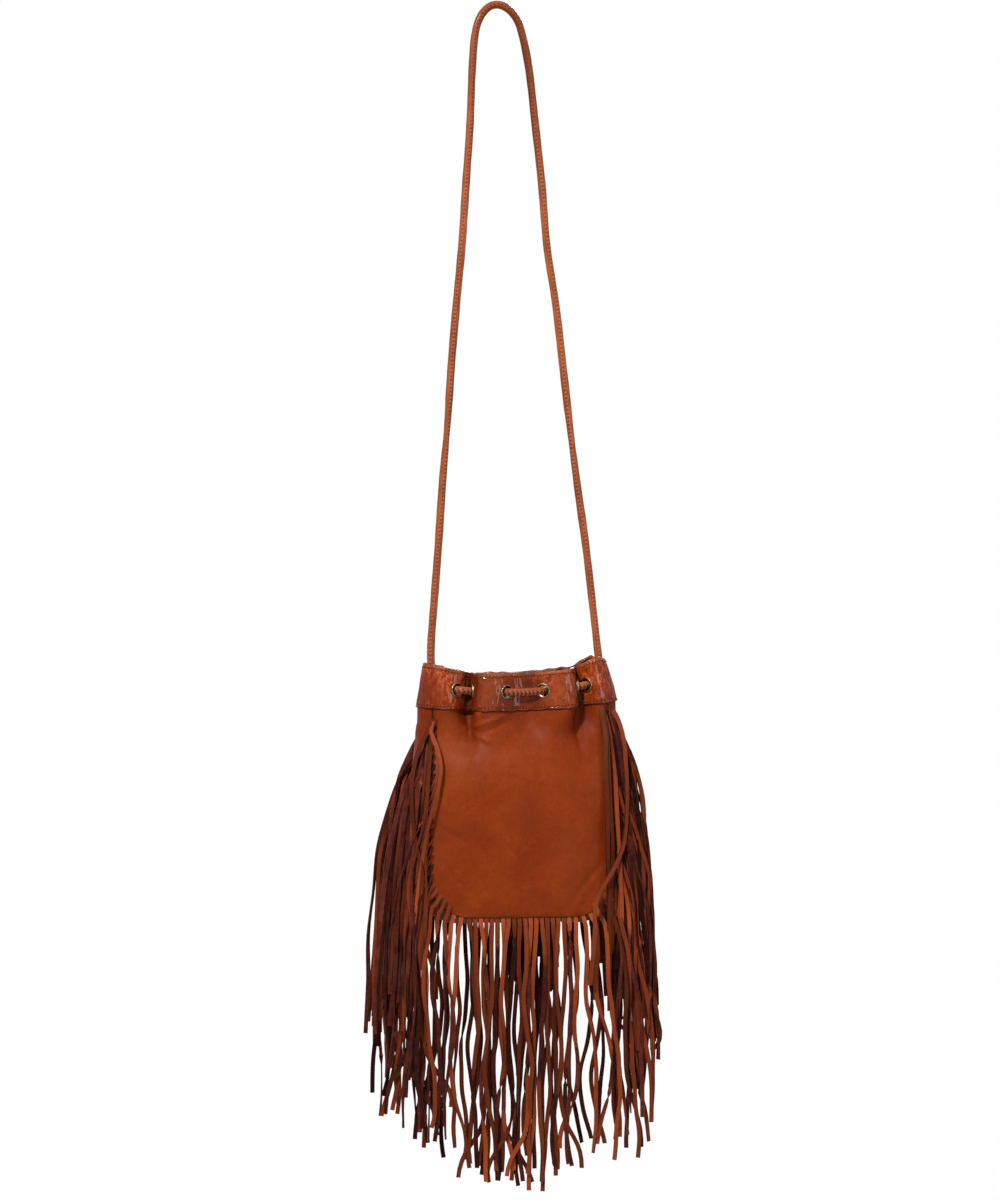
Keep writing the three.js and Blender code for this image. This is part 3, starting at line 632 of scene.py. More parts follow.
def makeCollar():
    c = collarSettings
    k = np.linspace(0, planCount, c["around"], endpoint=False)
    plan = planAt(k)
    x0 = plan[:, 0]
    seg = np.linalg.norm(np.diff(np.vstack([plan, plan[:1]]), axis=0), axis=1)
    arc = runningSum(seg)[:-1]
    height = collarHeight(k)
    half = bag["collarWall"] / 2
    slot = bag["skin"] / 2 + 0.3
    profile = []
    for i in range(c["outerRows"]):
        t = i / (c["outerRows"] - 1)
        profile.append((t * 0.95, half + 0.15 * math.sin(math.pi * t), "out"))
    for i in range(1, c["foldRows"] + 1):
        a = math.pi * i / (c["foldRows"] + 1)
        profile.append((0.95 + 0.05 * math.sin(a), half * math.cos(a), "fold"))
    for i in range(c["innerRows"]):
        t = i / (c["innerRows"] - 1)
        profile.append(((1 - t) * 0.95, -half, "in"))
    groove = (bag["tuck"] + 0.6) / 33
    profile += [(0.004, -slot - 0.05, "lip"), (groove * 0.5, -slot, "slot"), (groove, -slot * 0.6, "slot"),
                (groove, slot * 0.6, "slot"), (groove * 0.5, slot, "slot"), (0.004, slot + 0.05, "lip")]
    rows, dark, shine = [], [], []
    for s, off, kind in profile:
        sArr = np.full(len(k), s)
        h = sArr * height
        d = np.zeros(len(k))
        if kind in ("out", "fold"):
            nearStitch = hill(h, c["stitchLow"], 1) + hill(h, height - c["stitchTop"], 1)
            ripple = 0.5 + 0.5 * np.cos(2 * math.pi * arc / c["pitch"])
            d -= c["pucker"] * nearStitch * (0.45 + 0.55 * ripple)
            d += 0.28 * hill(h, 0.4, 1.1) * np.sin(arc / 4.3 + 1.4 * np.sin(arc / 11.0))
        pts = collarWorn(k, sArr, off)
        if kind in ("out", "fold"):
            tight = c["creaseScale"] * 2.1
            creases = np.array([noise.noise(Vector((a * tight, hh * 0.045, 3.1))) for a, hh in zip(arc, h)])
            small = np.array([noise.noise(Vector((a * 0.42, hh * 0.16, 9.4))) for a, hh in zip(arc, h)])
            sharpCrease = -np.abs(creases) + 0.25
            d += c["crease"] * sharpCrease * 1.3 + 0.28 * small
            if kind == "fold":
                d *= 0.6
        nrm = planNormal(k)
        pts[:, 0] += nrm[:, 0] * d
        pts[:, 1] += nrm[:, 1] * d
        if kind in ("out", "fold") and s > 0.6:
            pts[:, 2] += 0.35 * np.sin(arc / 3.1 + 2 * np.sin(arc / 8.7)) * smooth((s - 0.6) / 0.4)
        if s < 0.05:
            pts[:, 2] += 0.4 * np.sin(arc / 2.6 + 1.7 * np.sin(arc / 7.7))
        rows.append(pts)
        # painted shade in the two valleys of the band, its middle dent, a dent low at the left and the stitch
        # holes; shine is painted highlight on the puckers between stitches
        paintedShade = hill(x0, -44, 7) + hill(x0, 50, 4.5)
        paintedShade += 0.6 * hill(x0, 7, 8) * smooth((s - 0.45) / 0.25)
        paintedShade += 0.3 * hill(x0, -20, 7) * smooth((0.5 - s) / 0.25)
        rowLine = hill(h, c["stitchLow"], 0.8) + hill(h, height - c["stitchTop"], 0.8)
        beads = np.cos(2 * math.pi * arc / c["pitch"])
        paintedShade = paintedShade + rowLine * 0.8 * smooth(0.3 - beads)
        shine.append(rowLine * 0.7 * smooth(beads - 0.2) if kind == "out" else 0 * h)
        edge = np.exp(-h / 0.7) * 0.8 + np.exp(-(height - h) / 0.6) * 0.7
        dark.append(np.clip(0.9 * paintedShade + edge + (0.5 if kind in ("lip", "slot") else 0), 0, 0.92))
    pts = np.array(rows)
    nr, nc = pts.shape[:2]
    centres = [(collarAt(np.array(q), 0.5), planNormal(np.array(q))) for q in eyelets["all"]]
    faces, mats = [], []
    for i in range(nr):
        for j in range(nc):
            a, b = i * nc + j, i * nc + (j + 1) % nc
            i2 = (i + 1) % nr
            c2, d2 = i2 * nc + j, i2 * nc + (j + 1) % nc
            mid = (pts[i, j] + pts[i2, (j + 1) % nc]) / 2
            hit = False
            for centre, axis in centres:
                v = mid - centre
                if abs(v[0]) > 9 or abs(v[1]) > 9:
                    continue
                deep = v[0] * axis[0] + v[1] * axis[1]
                if abs(deep) < eyelets["holeDeep"] and v.dot(v) - deep * deep < eyelets["hole"] ** 2:
                    hit = True
                    break
            if hit:
                continue
            faces.append((a, b, d2, c2))
            mats.append(0 if profile[i][2] in ("out", "fold", "lip") else 1)
    # the pale mix holds the painted highlight on the stitch puckers, and is paler along the top fold and
    # where the band stands furthest out
    wearAndSheen = np.array(shine)
    for i, (s, off, kind) in enumerate(profile):
        if kind in ("out", "fold"):
            wearAndSheen[i] += 0.35 * hill(s, 0.95, 0.05)
            wearAndSheen[i] += 0.12 * np.clip((np.abs(plan[:, 1]) - 24) / 6, 0, 1)
    values = dict(burnishAndShade=np.array(dark).reshape(-1), wearAndSheen=np.clip(wearAndSheen, 0, 0.9).reshape(-1))
    return meshFrom("collarBand", pts.reshape(-1, 3), faces, mats, values)


collarMesh = makeCollar()
addPiece("collarBand", collarMesh, [collarLeather, insideSuede], ["collar"])
print("collar", len(collarMesh.polygons))


# panels and gusset, gathered under the collar and bellied lower down
panelSettings = dict(
    columns=170, rows=150, wrinkle=0.6, gatherWrinkle=0.9,
    folds=[
        (-43, -604, 0.05, 3.2, 22, -2.6), (-37, -606, 0.0, 3.0, 16, 1.5), (48, -603, 0.1, 3.5, 24, -2.8),
        (56, -612, 0.12, 3.5, 20, 1.3), (-29, -606, -2.4, 4.5, 8, 1.7), (-24, -611, -2.4, 5, 7, -1.3),
        (-38, -617, 1.5, 4, 7, 1.2),
    ],
)
seamGap = 0.06
frontSpan = (seamGap, frontCount - 1 - seamGap)
backSpan = (frontCount + sideCount + seamGap, 2 * frontCount + sideCount - 1 - seamGap)


def panelPoint(span, f, z, face):
    k = span[0] + (span[1] - span[0]) * f
    plan = planAt(k)
    half = seamHalf(z) + 0.6
    across = (2 * f - 1) * half * (1 if face < 0 else -1)
    low = lowZ(plan[..., 0])
    w = 1 - smooth((low - z) / bag["fade"])
    bulge = np.sin(math.pi * f) ** 1.1
    down = np.clip((low - z) / (low - bag["lowZ"]), 0, 1)
    belly = bag["belly"] * bulge * np.sin(math.pi * np.minimum(1, 0.22 + down * 0.78)) ** 0.8
    grow = 1 + bag["taper"] * 0.5
    x = across * (1 - w) + plan[..., 0] * grow * w
    y = face * (seamDepth(z) + belly) * (1 - w) + plan[..., 1] * 1.06 * w
    return np.stack([bag["midX"] + x, y, z + 0 * x], -1)


def makePanel(name, span, face, seed):
    c = panelSettings
    f = np.linspace(0, 1, c["columns"])
    k = span[0] + (span[1] - span[0]) * f
    low = lowZ(planAt(k)[:, 0])
    rows = [collarAt(k, bag["tuck"] / collarHeight(k) * t) for t in (1, 0.5, 0)]
    # rows run from the collar to the corner height, then round the corners by angle
    straight = int(c["rows"] * 0.72)
    for i in range(1, straight):
        q = i / (straight - 1)
        rows.append(panelPoint(span, f, low + (cornerZ - low) * q, face))
    bend = c["rows"] - straight
    for i in range(1, bend + 1):
        a = math.pi / 2 * i / bend
        z = np.full(len(f), cornerZ - bag["corner"] * math.sin(a))
        rows.append(panelPoint(span, f, z, face))
    p = np.array(rows)
    at = (len(p) // 2, len(f) // 2)
    n = gridNormals(p, at, (0, face, 0))
    n[:3, :, 2] = 0
    n[:3, :, :2] = planNormal(k)[None]
    flat = p.reshape(-1, 3)
    drop = np.clip((low[None, :] - p[..., 2]) / 60, 0, 1)
    edgeFade = smooth(np.minimum(f, 1 - f) / 0.04)[None, :] * np.ones((len(p), 1))
    edgeFade[:3] = 0
    edgeFade *= smooth((p[..., 2] - bag["lowZ"]) / 12)
    big = fuzz(flat * np.array([1, 0.3, 0.55]), 0.03, seed).reshape(p.shape[:2])
    mid = fuzz(flat * np.array([1, 0.3, 0.7]), 0.085, seed + 5).reshape(p.shape[:2])
    crease = fuzz(flat * np.array([1.2, 0.3, 0.35]), 0.055, seed + 11).reshape(p.shape[:2])
    gather = (1 - drop) ** 1.3
    d = c["wrinkle"] * (1.5 * big + 0.55 * mid) + c["gatherWrinkle"] * gather * (0.8 - 2.6 * np.abs(crease))
    # long soft diagonal pulls near the lower corners
    xx, zz = p[..., 0] - bag["midX"], p[..., 2]
    for cx, cz, slope, size in (
            (-52, -742, 0.9, 1.0), (-38, -752, 0.7, 0.7), (58, -738, -0.8, 0.9), (-60, -700, 1.6, 0.6)):
        u = (xx - cx) * 0.7 + (zz - cz) * 0.7 * slope
        v = (xx - cx) * 0.7 * slope - (zz - cz) * 0.7
        d -= size * hill(u, 0, 3) * hill(v, 0, 24)
    # gathers below the collar: (x, z, lean, width, length, depth)
    for cx, cz, lean, wide, tall, size in c["folds"]:
        d += size * hill(xx - lean * (cz - zz), cx, wide) * hill(zz, cz, tall)
    p = p + n * (d * edgeFade)[..., None]
    n2 = gridNormals(p, at, (0, face, 0))
    n2[:3] = n[:3]
    # painted shade high on the panel where it sits inward under the collar valleys; the cut edges are
    # burnished darker, with a wider darker band along them
    paintedShade = (1 - drop) * np.clip((20 - np.abs(planAt(k)[:, 1])) / 12, 0, 1)[None, :]
    edgeDist = np.minimum(np.minimum(f, 1 - f)[None, :] * 150, p[..., 2] - bag["lowZ"])
    burnishAndShade = np.clip(0.45 * paintedShade + 0.5 * np.exp(-edgeDist / 1.4) + 0.22 * np.exp(-edgeDist / 9), 0, 0.9)
    wearAndSheen = np.clip(0.10 * (big + 0.15), 0, 0.2)
    return sheetMesh(name, p, n2, bag["skin"], dict(burnishAndShade=burnishAndShade, wearAndSheen=wearAndSheen))


def checkOutside(mesh, probe):
    # the outer skin's faces look away from the middle of the bag
    total = 0.0
    for poly in mesh.polygons:
        if poly.material_index == 0:
            total += (poly.center - probe).dot(poly.normal)
    if total < 0:
        mesh.flip_normals()


middle = Vector((bag["midX"] * mm, 0, -0.69))
for name, span, face, node, seed in (
        ("frontPanel", frontSpan, -1, "front_panel", 1.3), ("backPanel", backSpan, 1, "back_panel", 8.7)):
    panelMesh = makePanel(name, span, face, seed)
    checkOutside(panelMesh, middle)
    addPiece(name, panelMesh, [panelLeather, insideSuede], [node])
print("panels")


# the seam line in front view, by length from the left top
sideLength = bag["seamTop"] - cornerZ
arcLength = math.pi / 2 * bag["corner"]
flatHalf = bag["half"] - bag["corner"]
seamLength = 2 * (sideLength + arcLength + flatHalf)


def seamAt(length):
    right = length > seamLength / 2
    l = seamLength - length if right else length
    sign = 1 if right else -1
    if l <= sideLength:
        z = bag["seamTop"] - l
        return sign * float(seamHalf(z)), z, sign, 0.0
    if l <= sideLength + arcLength:
        a = (l - sideLength) / bag["corner"]
        return (sign * (flatHalf + bag["corner"] * math.cos(a)), cornerZ - bag["corner"] * math.sin(a),
                sign * math.cos(a), -math.sin(a))
    return sign * (seamLength / 2 - l), bag["lowZ"], 0.0, -1.0


gussetSettings = dict(across=64, sideRows=86, arcRows=26, lowRows=40)


def gussetPoint(length, g):
    x0, z0, nx, nz = seamAt(length)
    right = length > seamLength / 2
    out = bag["gussetOut"] * (0.45 + 0.55 * abs(nx)) * np.sin(math.pi * g) ** 0.9
    depth = (2 * g - 1) * (seamDepth(z0) - 1.5)
    if right:
        k = frontCount - 1 + seamGap + (sideCount + 1 - 2 * seamGap) * g
    else:
        k = planCount - seamGap + (2 * frontCount + sideCount - 1 - planCount + 2 * seamGap) * g
    plan = planAt(k)
    w = 1 - smooth((lowZ(plan[:, 0]) - z0) / bag["fade"])
    x = (x0 + nx * out) * (1 - w) + plan[:, 0] * (1 + bag["taper"] * 0.5) * w
    y = depth * (1 - w) + plan[:, 1] * 1.06 * w
    return np.stack([bag["midX"] + x, y, z0 + nz * out], -1), k


def makeGusset():
    c = gussetSettings
    g = np.linspace(0, 1, c["across"])
    half = list(np.linspace(1.5, sideLength, c["sideRows"]))
    half += list(np.linspace(sideLength, sideLength + arcLength, c["arcRows"]))[1:]
    half += list(np.linspace(sideLength + arcLength, seamLength / 2, c["lowRows"]))[1:-1]
    lengths = half + [seamLength / 2] + [seamLength - l for l in reversed(half)]

    def tuckRows(right):
        k = gussetPoint(seamLength - 1 if right else 1, g)[1]
        return [collarAt(k, bag["tuck"] * t / collarHeight(k)) for t in (1, 0.5, 0)]

    rows = tuckRows(False) + [gussetPoint(l, g)[0] for l in lengths] + tuckRows(True)[::-1]
    p = np.array(rows)
    n = gridNormals(p, (40, 30), (-1, 0, 0))
    flat = p.reshape(-1, 3)
    big = fuzz(flat, 0.035, 4.4).reshape(p.shape[:2])
    crease = fuzz(flat * np.array([0.5, 1.4, 0.5]), 0.06, 2.2).reshape(p.shape[:2])
    fade = smooth(np.minimum(g, 1 - g) / 0.12)[None, :] * np.ones((len(p), 1))
    fade[:6] = 0
    fade[-6:] = 0
    p = p + n * ((1.1 * big + 0.9 * (0.4 - 1.6 * np.abs(crease))) * fade)[..., None]
    n2 = gridNormals(p, (40, 30), (-1, 0, 0))
    edge = np.minimum(g, 1 - g)[None, :] * 60 * np.ones((len(p), 1))
    burnishAndShade = np.clip(0.5 * np.exp(-edge / 1.6) + 0.25, 0, 0.9)
    return sheetMesh("gussetStrip", p, n2, bag["skin"], dict(burnishAndShade=burnishAndShade, wearAndSheen=0 * burnishAndShade))


gussetMesh = makeGusset()
checkOutside(gussetMesh, middle)
addPiece("gussetStrip", gussetMesh, [panelLeather, insideSuede], ["gusset"])
print("gusset")


# rolled eyelets
def makeEyelet(name, k):
    centre, axis = collarAt(np.array(k), 0.5), planNormal(np.array(k))
    reach = bag["collarWall"] / 2 + 0.3
    bore, outer, tube = eyelets["bore"], eyelets["outer"], eyelets["tube"]
    profile = []
    crown = (bore + outer) / 2
    wide = (outer - bore) / 2
    for i in range(15):
        a = math.pi * i / 14
        profile.append((crown + wide * math.cos(a), reach + 0.12 + 1.0 * math.sin(a)))
    for i in range(1, 8):
        profile.append((bore + 0.06 * math.sin(math.pi * i / 8), reach - 2 * reach * i / 8))
    for i in range(12):
        a = math.pi + math.pi * i / 11
        profile.append((crown - 0.1 + (wide - 0.1) * math.cos(a), -reach - 0.12 + 0.8 * math.sin(a)))
    profile.append((outer - 0.3, -reach + 0.02))
    profile.append((tube, -reach + 0.05))
    profile.append((tube, reach - 0.02))
    profile.append((outer, reach + 0.02))
    around = eyelets["around"]
    u = np.array([axis[1], -axis[0], 0])
    v = np.array([0, 0, 1.0])
    nrm = np.array([axis[0], axis[1], 0])
    verts, faces = [], []
    for j in range(around):
        a = 2 * math.pi * j / around
        for r, h in profile:
            verts.append(centre + (u * math.cos(a) + v * math.sin(a)) * r + nrm * h)
    n = len(profile)
    for j in range(around):
        j2 = (j + 1) % around
        for i in range(n):
            i2 = (i + 1) % n
            faces.append((j * n + i, j2 * n + i, j2 * n + i2, j * n + i2))
    mesh = meshFrom(name, verts, faces, None, None, 40)
    ring = mesh.polygons[7]
    if (ring.center - Vector(centre * mm)).dot(ring.normal) < 0 and ring.normal.dot(Vector(nrm)) < 0:
        mesh.flip_normals()
    return mesh


for i, k in enumerate(eyelets["all"]):
    label = f"eyelet_front_{i + 1}" if i < 6 else f"eyelet_back_{i - 5}"
    name = f"rolledEyelet{i + 1}"
    addPiece(name, makeEyelet(name, k), [agedBrass], [label])
print("eyelets")


# geometry nodes: thongs swept along their paths
def buildThongTree():
    tree, gin, gout = newGroup(
        "thongSweep", "GeometryNodeTree",
        [("Geometry", "Geometry", None), ("Width", "Float", 0.0036), ("Thickness", "Float", 0.0013),
         ("Seed", "Int", 3), ("Grain Side", "Material", None), ("Flesh Side", "Material", None)],
        [("Geometry", "Geometry")])
    rect = addNode(tree, "GeometryNodeCurvePrimitiveQuadrilateral", {
        "Width": gin["Width"], "Height": gin["Thickness"]})
    corner = addNode(tree, "GeometryNodeInputIndex")
    rim = addNode(tree, "GeometryNodeStoreNamedAttribute", {
        "Geometry": rect.outputs[0], "Name": "rim", "Value": corner.outputs[0]},
        data_type="FLOAT", domain="POINT")
    rand = addNode(tree, "FunctionNodeRandomValue", {"Seed": gin["Seed"]}, data_type="FLOAT")
    tone = addNode(tree, "GeometryNodeStoreNamedAttribute", {
        "Geometry": gin["Geometry"], "Name": "tone", "Value": rand.outputs[1]},
        data_type="FLOAT", domain="CURVE")
    sweep = addNode(tree, "GeometryNodeCurveToMesh", {
        "Curve": tone.outputs[0], "Profile Curve": rim.outputs[0], "Fill Caps": True})
    flesh = addNode(tree, "GeometryNodeSetMaterial", {
        "Geometry": sweep.outputs[0], "Material": gin["Flesh Side"]})
    # the profile's first edge is the grain side
    side = addNode(tree, "GeometryNodeInputNamedAttribute", {"Name": "rim"}, data_type="FLOAT")
    first = addNode(tree, "FunctionNodeCompare", {
        "A": side.outputs["Attribute"], "B": 0.99}, data_type="FLOAT", operation="LESS_THAN")
    grain = addNode(tree, "GeometryNodeSetMaterial", {
        "Geometry": flesh.outputs[0], "Selection": first.outputs[0], "Material": gin["Grain Side"]})
    real = addNode(tree, "GeometryNodeRealizeInstances", {"Geometry": grain.outputs[0]})
    fill(tree, gout, {"Geometry": real.outputs[0]})
    return tree


# geometry nodes: stitches laid end to end along a line
def buildStitchTree():
    tree, gin, gout = newGroup(
        "stitchRow", "GeometryNodeTree",
        [("Geometry", "Geometry", None), ("Pitch", "Float", 0.0027), ("Length", "Float", 0.0018),
         ("Thread", "Float", 0.00035), ("Material", "Material", None)],
        [("Geometry", "Geometry")])
    points = addNode(tree, "GeometryNodeCurveToPoints", {
        "Curve": gin["Geometry"], "Length": gin["Pitch"]}, mode="LENGTH")
    line = addNode(tree, "GeometryNodeCurvePrimitiveLine", {"Start": (0, 0, -0.5), "End": (0, 0, 0.5)})
    size = addNode(tree, "ShaderNodeCombineXYZ", {0: 1, 1: 1, 2: gin["Length"]})
    stretch = addNode(tree, "GeometryNodeTransform", {"Geometry": line.outputs[0], "Scale": size.outputs[0]})
    finer = addNode(tree, "GeometryNodeResampleCurve", {"Curve": stretch.outputs[0], "Count": 5})
    # thick in the middle of each stitch and thin where it dips into the leather
    along = addNode(tree, "GeometryNodeSplineParameter").outputs["Factor"]
    fromMiddle = mathNode(tree, "SUBTRACT", along, 0.5)
    thin = mathNode(tree, "MULTIPLY_ADD", times(tree, fromMiddle, fromMiddle), -2.6, 1.0)
    radius = addNode(tree, "GeometryNodeSetCurveRadius", {"Curve": finer.outputs[0], "Radius": thin})
    ring = addNode(tree, "GeometryNodeCurvePrimitiveCircle", {"Resolution": 6, "Radius": gin["Thread"]})
    body = addNode(tree, "GeometryNodeCurveToMesh", {
        "Curve": radius.outputs[0], "Profile Curve": ring.outputs[0], "Fill Caps": True})
    place = addNode(tree, "GeometryNodeInstanceOnPoints", {
        "Points": points.outputs["Points"], "Instance": body.outputs[0],
        "Rotation": points.outputs["Rotation"]})
    real = addNode(tree, "GeometryNodeRealizeInstances", {"Geometry": place.outputs[0]})
    paint = addNode(tree, "GeometryNodeSetMaterial", {
        "Geometry": real.outputs[0], "Material": gin["Material"]})
    fill(tree, gout, {"Geometry": paint.outputs[0]})
    return tree


thongTree = buildThongTree()
stitchTree = buildStitchTree()


def setInput(modifier, label, value):
    for item in modifier.node_group.interface.items_tree:
        if item.item_type == "SOCKET" and item.in_out == "INPUT" and item.name == label:
            modifier[item.identifier] = value


def splineObject(name, paths, tilts=None, radii=None, closed=False):
    curve = bpy.data.curves.new(name, "CURVE")
    curve.dimensions = "3D"
    curve.twist_mode = "MINIMUM"
    for n, path in enumerate(paths):
        s = curve.splines.new("POLY")
        s.points.add(len(path) - 1)
        flat = np.concatenate([np.asarray(path) * mm, np.ones((len(path), 1))], 1)
        s.points.foreach_set("co", flat.reshape(-1))
        if tilts is not None:
            s.points.foreach_set("tilt", tilts[n])
            s.points.foreach_set("radius", radii[n])
        s.use_cyclic_u = closed
    obj = bpy.data.objects.new(name, curve)
    scene.collection.objects.link(obj)
    return obj


def bakeNodes(obj, tree, values, name, sharp=None):
    mod = obj.modifiers.new("nodes", "NODES")
    mod.node_group = tree
    for label, value in values.items():
        setInput(mod, label, value)
    dg = bpy.context.evaluated_depsgraph_get()
    mesh = bpy.data.meshes.new_from_object(obj.evaluated_get(dg), depsgraph=dg)
    mesh.name = name
    if sharp:
        mesh.set_sharp_from_angle(angle=math.radians(sharp))
    bpy.data.objects.remove(obj)
    return mesh


# fringe thongs: laced over the side seams, out from under the lower edge, then hanging
thongs = dict(
    length=230, width=3.6, thick=1.25, points=40, lead=14.0, holeIn=2.8, holeUp=3.0,
    spreadTop=49, spreadLow=32, layerStep=1.9, sideLayers=6, lowLayers=3, bandOff=1.95,
    waves=((170, 3.0), (90, 1.1), (40, 0.4)), reachLeft=47, reachRight=41,
)


def panelSurface(xRel, z, face):
    half = float(seamHalf(z)) + 0.6
    f = np.clip((xRel / half * (1 if face < 0 else -1) + 1) / 2, 0.001, 0.999)
    span = frontSpan if face < 0 else backSpan
    return panelPoint(span, np.array([f]), float(z), face)[0]


def minTwistNormal(t):
    n = np.array([t[1], -t[0], 0.0])
    return n / np.linalg.norm(n) if np.linalg.norm(n) > 1e-4 else np.array([1.0, 0, 0])


def wander(rng, u, length):
    total = np.zeros_like(u)
    for span, size in thongs["waves"]:
        total += size * rng.uniform(0.4, 1.2) * np.sin(2 * math.pi * u * length / span + rng.uniform(0, 6.28))
    return total


def hangingPath(length, index, layer, face, rng):
    # the free length of one thong, in the bag's own frame
    x0, z0, nx, nz = seamAt(length)
    side = abs(nx)
    fall = min(1, max(0, (bag["seamTop"] - z0) / (bag["seamTop"] - bag["lowZ"])))
    end = math.copysign(1, nx) * (thongs["spreadTop"] + (thongs["spreadLow"] - thongs["spreadTop"]) * fall)
    lowCorner = 1 - (0.3 if nx > 0 else 0.85) * smooth((fall - 0.66) / 0.28)
    end *= side ** 0.8 * (1 - 0.8 * rng.uniform() ** 2.4) * lowCorner
    rate = rng.uniform(3.4, 6.0)
    total = thongs["length"] + 9 * wave(index, 3) - 16 * rng.uniform() ** 2
    total -= 16 * min(1.3, abs(x0 / 55) ** 2) if side < 0.5 else 0
    total -= (22 if nx < 0 else 11) * smooth((side - 0.12) / 0.3) * smooth((fall - 0.7) / 0.2)
    u = np.linspace(0, 1, 91)
    out = end * (0.55 * (1 - np.exp(-u * rate)) + 0.45 * u)
    grow = smooth((u - 0.03) / 0.4)
    out = out + grow * wander(rng, u, total) + rng.normal(0, 1.8) * smooth(u / 0.13)
    if 0.2 < side < 0.95:
        out = out + nx * 6 * smooth(u / 0.05)
    # neighbours lean together in tufts
    lean = [noise.noise(Vector((x0 * 0.07 + 3 * face, v * 1.9, 4.2 + 0.02 * z0))) for v in u]
    out = out + 9 * grow * np.array(lean)
    if rng.uniform() < 0.22:
        out = out + rng.normal(0, 13) * smooth((u - 0.66) / 0.34) ** 1.4
    reach = (thongs["reachRight"] if nx > 0 else thongs["reachLeft"]) - rng.uniform(0, 11)
    if side > 0.4:
        out = out / (1 + np.abs(out / reach) ** 10) ** 0.1
    lift = bag["depth"] - float(seamDepth(z0)) + thongs["layerStep"] * layer
    deep = lift * smooth(u * 8) - 0.2 * np.maximum(0, np.abs(out) - 19)
    deep = deep + grow * 0.6 * wander(rng, u, total)
    step = total / 90
    dx = np.clip(np.diff(out), -0.9 * step, 0.9 * step)
    dy = np.clip(np.diff(deep), -0.3 * step, 0.3 * step)
    dz = np.sqrt(np.maximum(step * step - dx * dx - dy * dy, (0.2 * step) ** 2))
    x = x0 + nx * 1.2 + runningSum(dx)
    z = z0 + nz * 1.2 - runningSum(dz)
    y = float(seamDepth(z0)) + thongs["bandOff"] + runningSum(dy)
    return np.stack([bag["midX"] + x, face * y, z], 1)


def rootPath(length, face):
    # over the seam on the sides, out from under the panel along the bottom
    x0, z0, nx, nz = seamAt(length)
    lift = np.array([0, face, 0])
    depth = float(seamDepth(z0))
    if abs(nx) > 0.55:
        holeZ = z0 - nz * thongs["holeIn"] + thongs["holeUp"]
        hole = panelSurface(x0 - nx * thongs["holeIn"], holeZ, face)
        mid = panelSurface(x0 - nx * thongs["holeIn"] * 0.45, z0 - nz * 1.6 + thongs["holeUp"] * 0.4, face)
        return [hole - lift * 0.8, hole + lift * 1.0 + np.array([nx * 0.6, 0, -0.5]), mid + lift * 1.7]
    inside = np.array([bag["midX"] + x0 - nx * 3.2, face * (depth - 1.3), z0 - nz * 3.2])
    edge = np.array([bag["midX"] + x0, face * (depth - 1.0), z0 + 0.2])
    return [inside, edge]


def arcSpaced(path, stations):
    dense = splinePoints(np.asarray(path), np.linspace(0, len(path) - 1, 900), False)
    s = runningSum(np.linalg.norm(np.diff(dense, axis=0), axis=1))
    t = stations(s[-1])
    return np.stack([np.interp(t, s, dense[:, c]) for c in range(3)], 1), t / s[-1]


def thongStations(total):
    lead = thongs["lead"]
    return np.concatenate([np.linspace(0, lead, 10), np.linspace(lead, total, thongs["points"] - 9)[1:]])


def rootTilt(path, across):
    # turns the first ring so that the grain side looks outward
    t = unit(path[1] - path[0])
    want = unit(across - t * across.dot(t))
    n = minTwistNormal(t)
    n = unit(n - t * n.dot(t))
    return math.atan2(np.cross(n, want).dot(t), n.dot(want))


def thongTwist(q, side, rng):
    # half turns that bring the flesh side to the front, and a slow roll
    turns = rng.choice([-1, 1]) if rng.uniform() < (0.62 if side > 0.4 else 0.5) else 0
    start = rng.uniform(0.04, 0.16) if rng.uniform() < 0.6 else rng.uniform(0.2, 0.6)
    twist = math.pi * turns * smooth((q - start) / rng.uniform(0.07, 0.25))
    if rng.uniform() < 0.4:
        again = math.pi * rng.choice([-1, 1])
        start = rng.uniform(0.5, 0.8)
        twist = twist + again * smooth((q - start) / rng.uniform(0.08, 0.25))
    twist = twist + rng.uniform(-0.9, 0.9) * smooth((q - 0.08) / 0.7)
    roll = rng.uniform(0.2, 0.55) * np.sin(q * rng.uniform(8, 16) + rng.uniform(0, 6))
    return twist + roll * smooth((q - 0.08) / 0.25)


def thongLine(length, index, layer, face, rng):
    nx, nz = seamAt(length)[2:]
    path = np.vstack([rootPath(length, face), hangingPath(length, index, layer, face, rng)[2:]])
    path, q = arcSpaced(path, thongStations)
    tilt = rootTilt(path, face * np.cross([0, 1, 0], [nx, 0, nz])) + thongTwist(q, abs(nx), rng)
    if abs(nx) > 0.55:
        radius = rng.uniform(0.82, 1.12) * (0.95 + 0.05 * smooth(q * 230 / 16))
    else:
        radius = rng.uniform(0.88, 1.1) * (1 + 0.42 * smooth((0.4 - q) / 0.3))
    if abs(nx) < 0.3:
        radius = radius * (1 + 0.34 * smooth((0.075 - q) / 0.035))
    return path, tilt, radius * (1 - 0.26 * smooth((q - 0.42) / 0.3))


def strayLine(points, rng, width, turned=0.0):
    # a thong that leaves the rest, by points as x, outward depth and height
    path, q = arcSpaced(np.array(points, float), lambda total: np.linspace(0, total, thongs["points"]))
    roll = rng.uniform(0.3, 1.1) * np.sin(q * 7 + rng.uniform(0, 6))
    tilt = turned + rootTilt(path, np.array([1.0, 0, 0])) + roll
    return path, tilt, np.full(len(path), width)


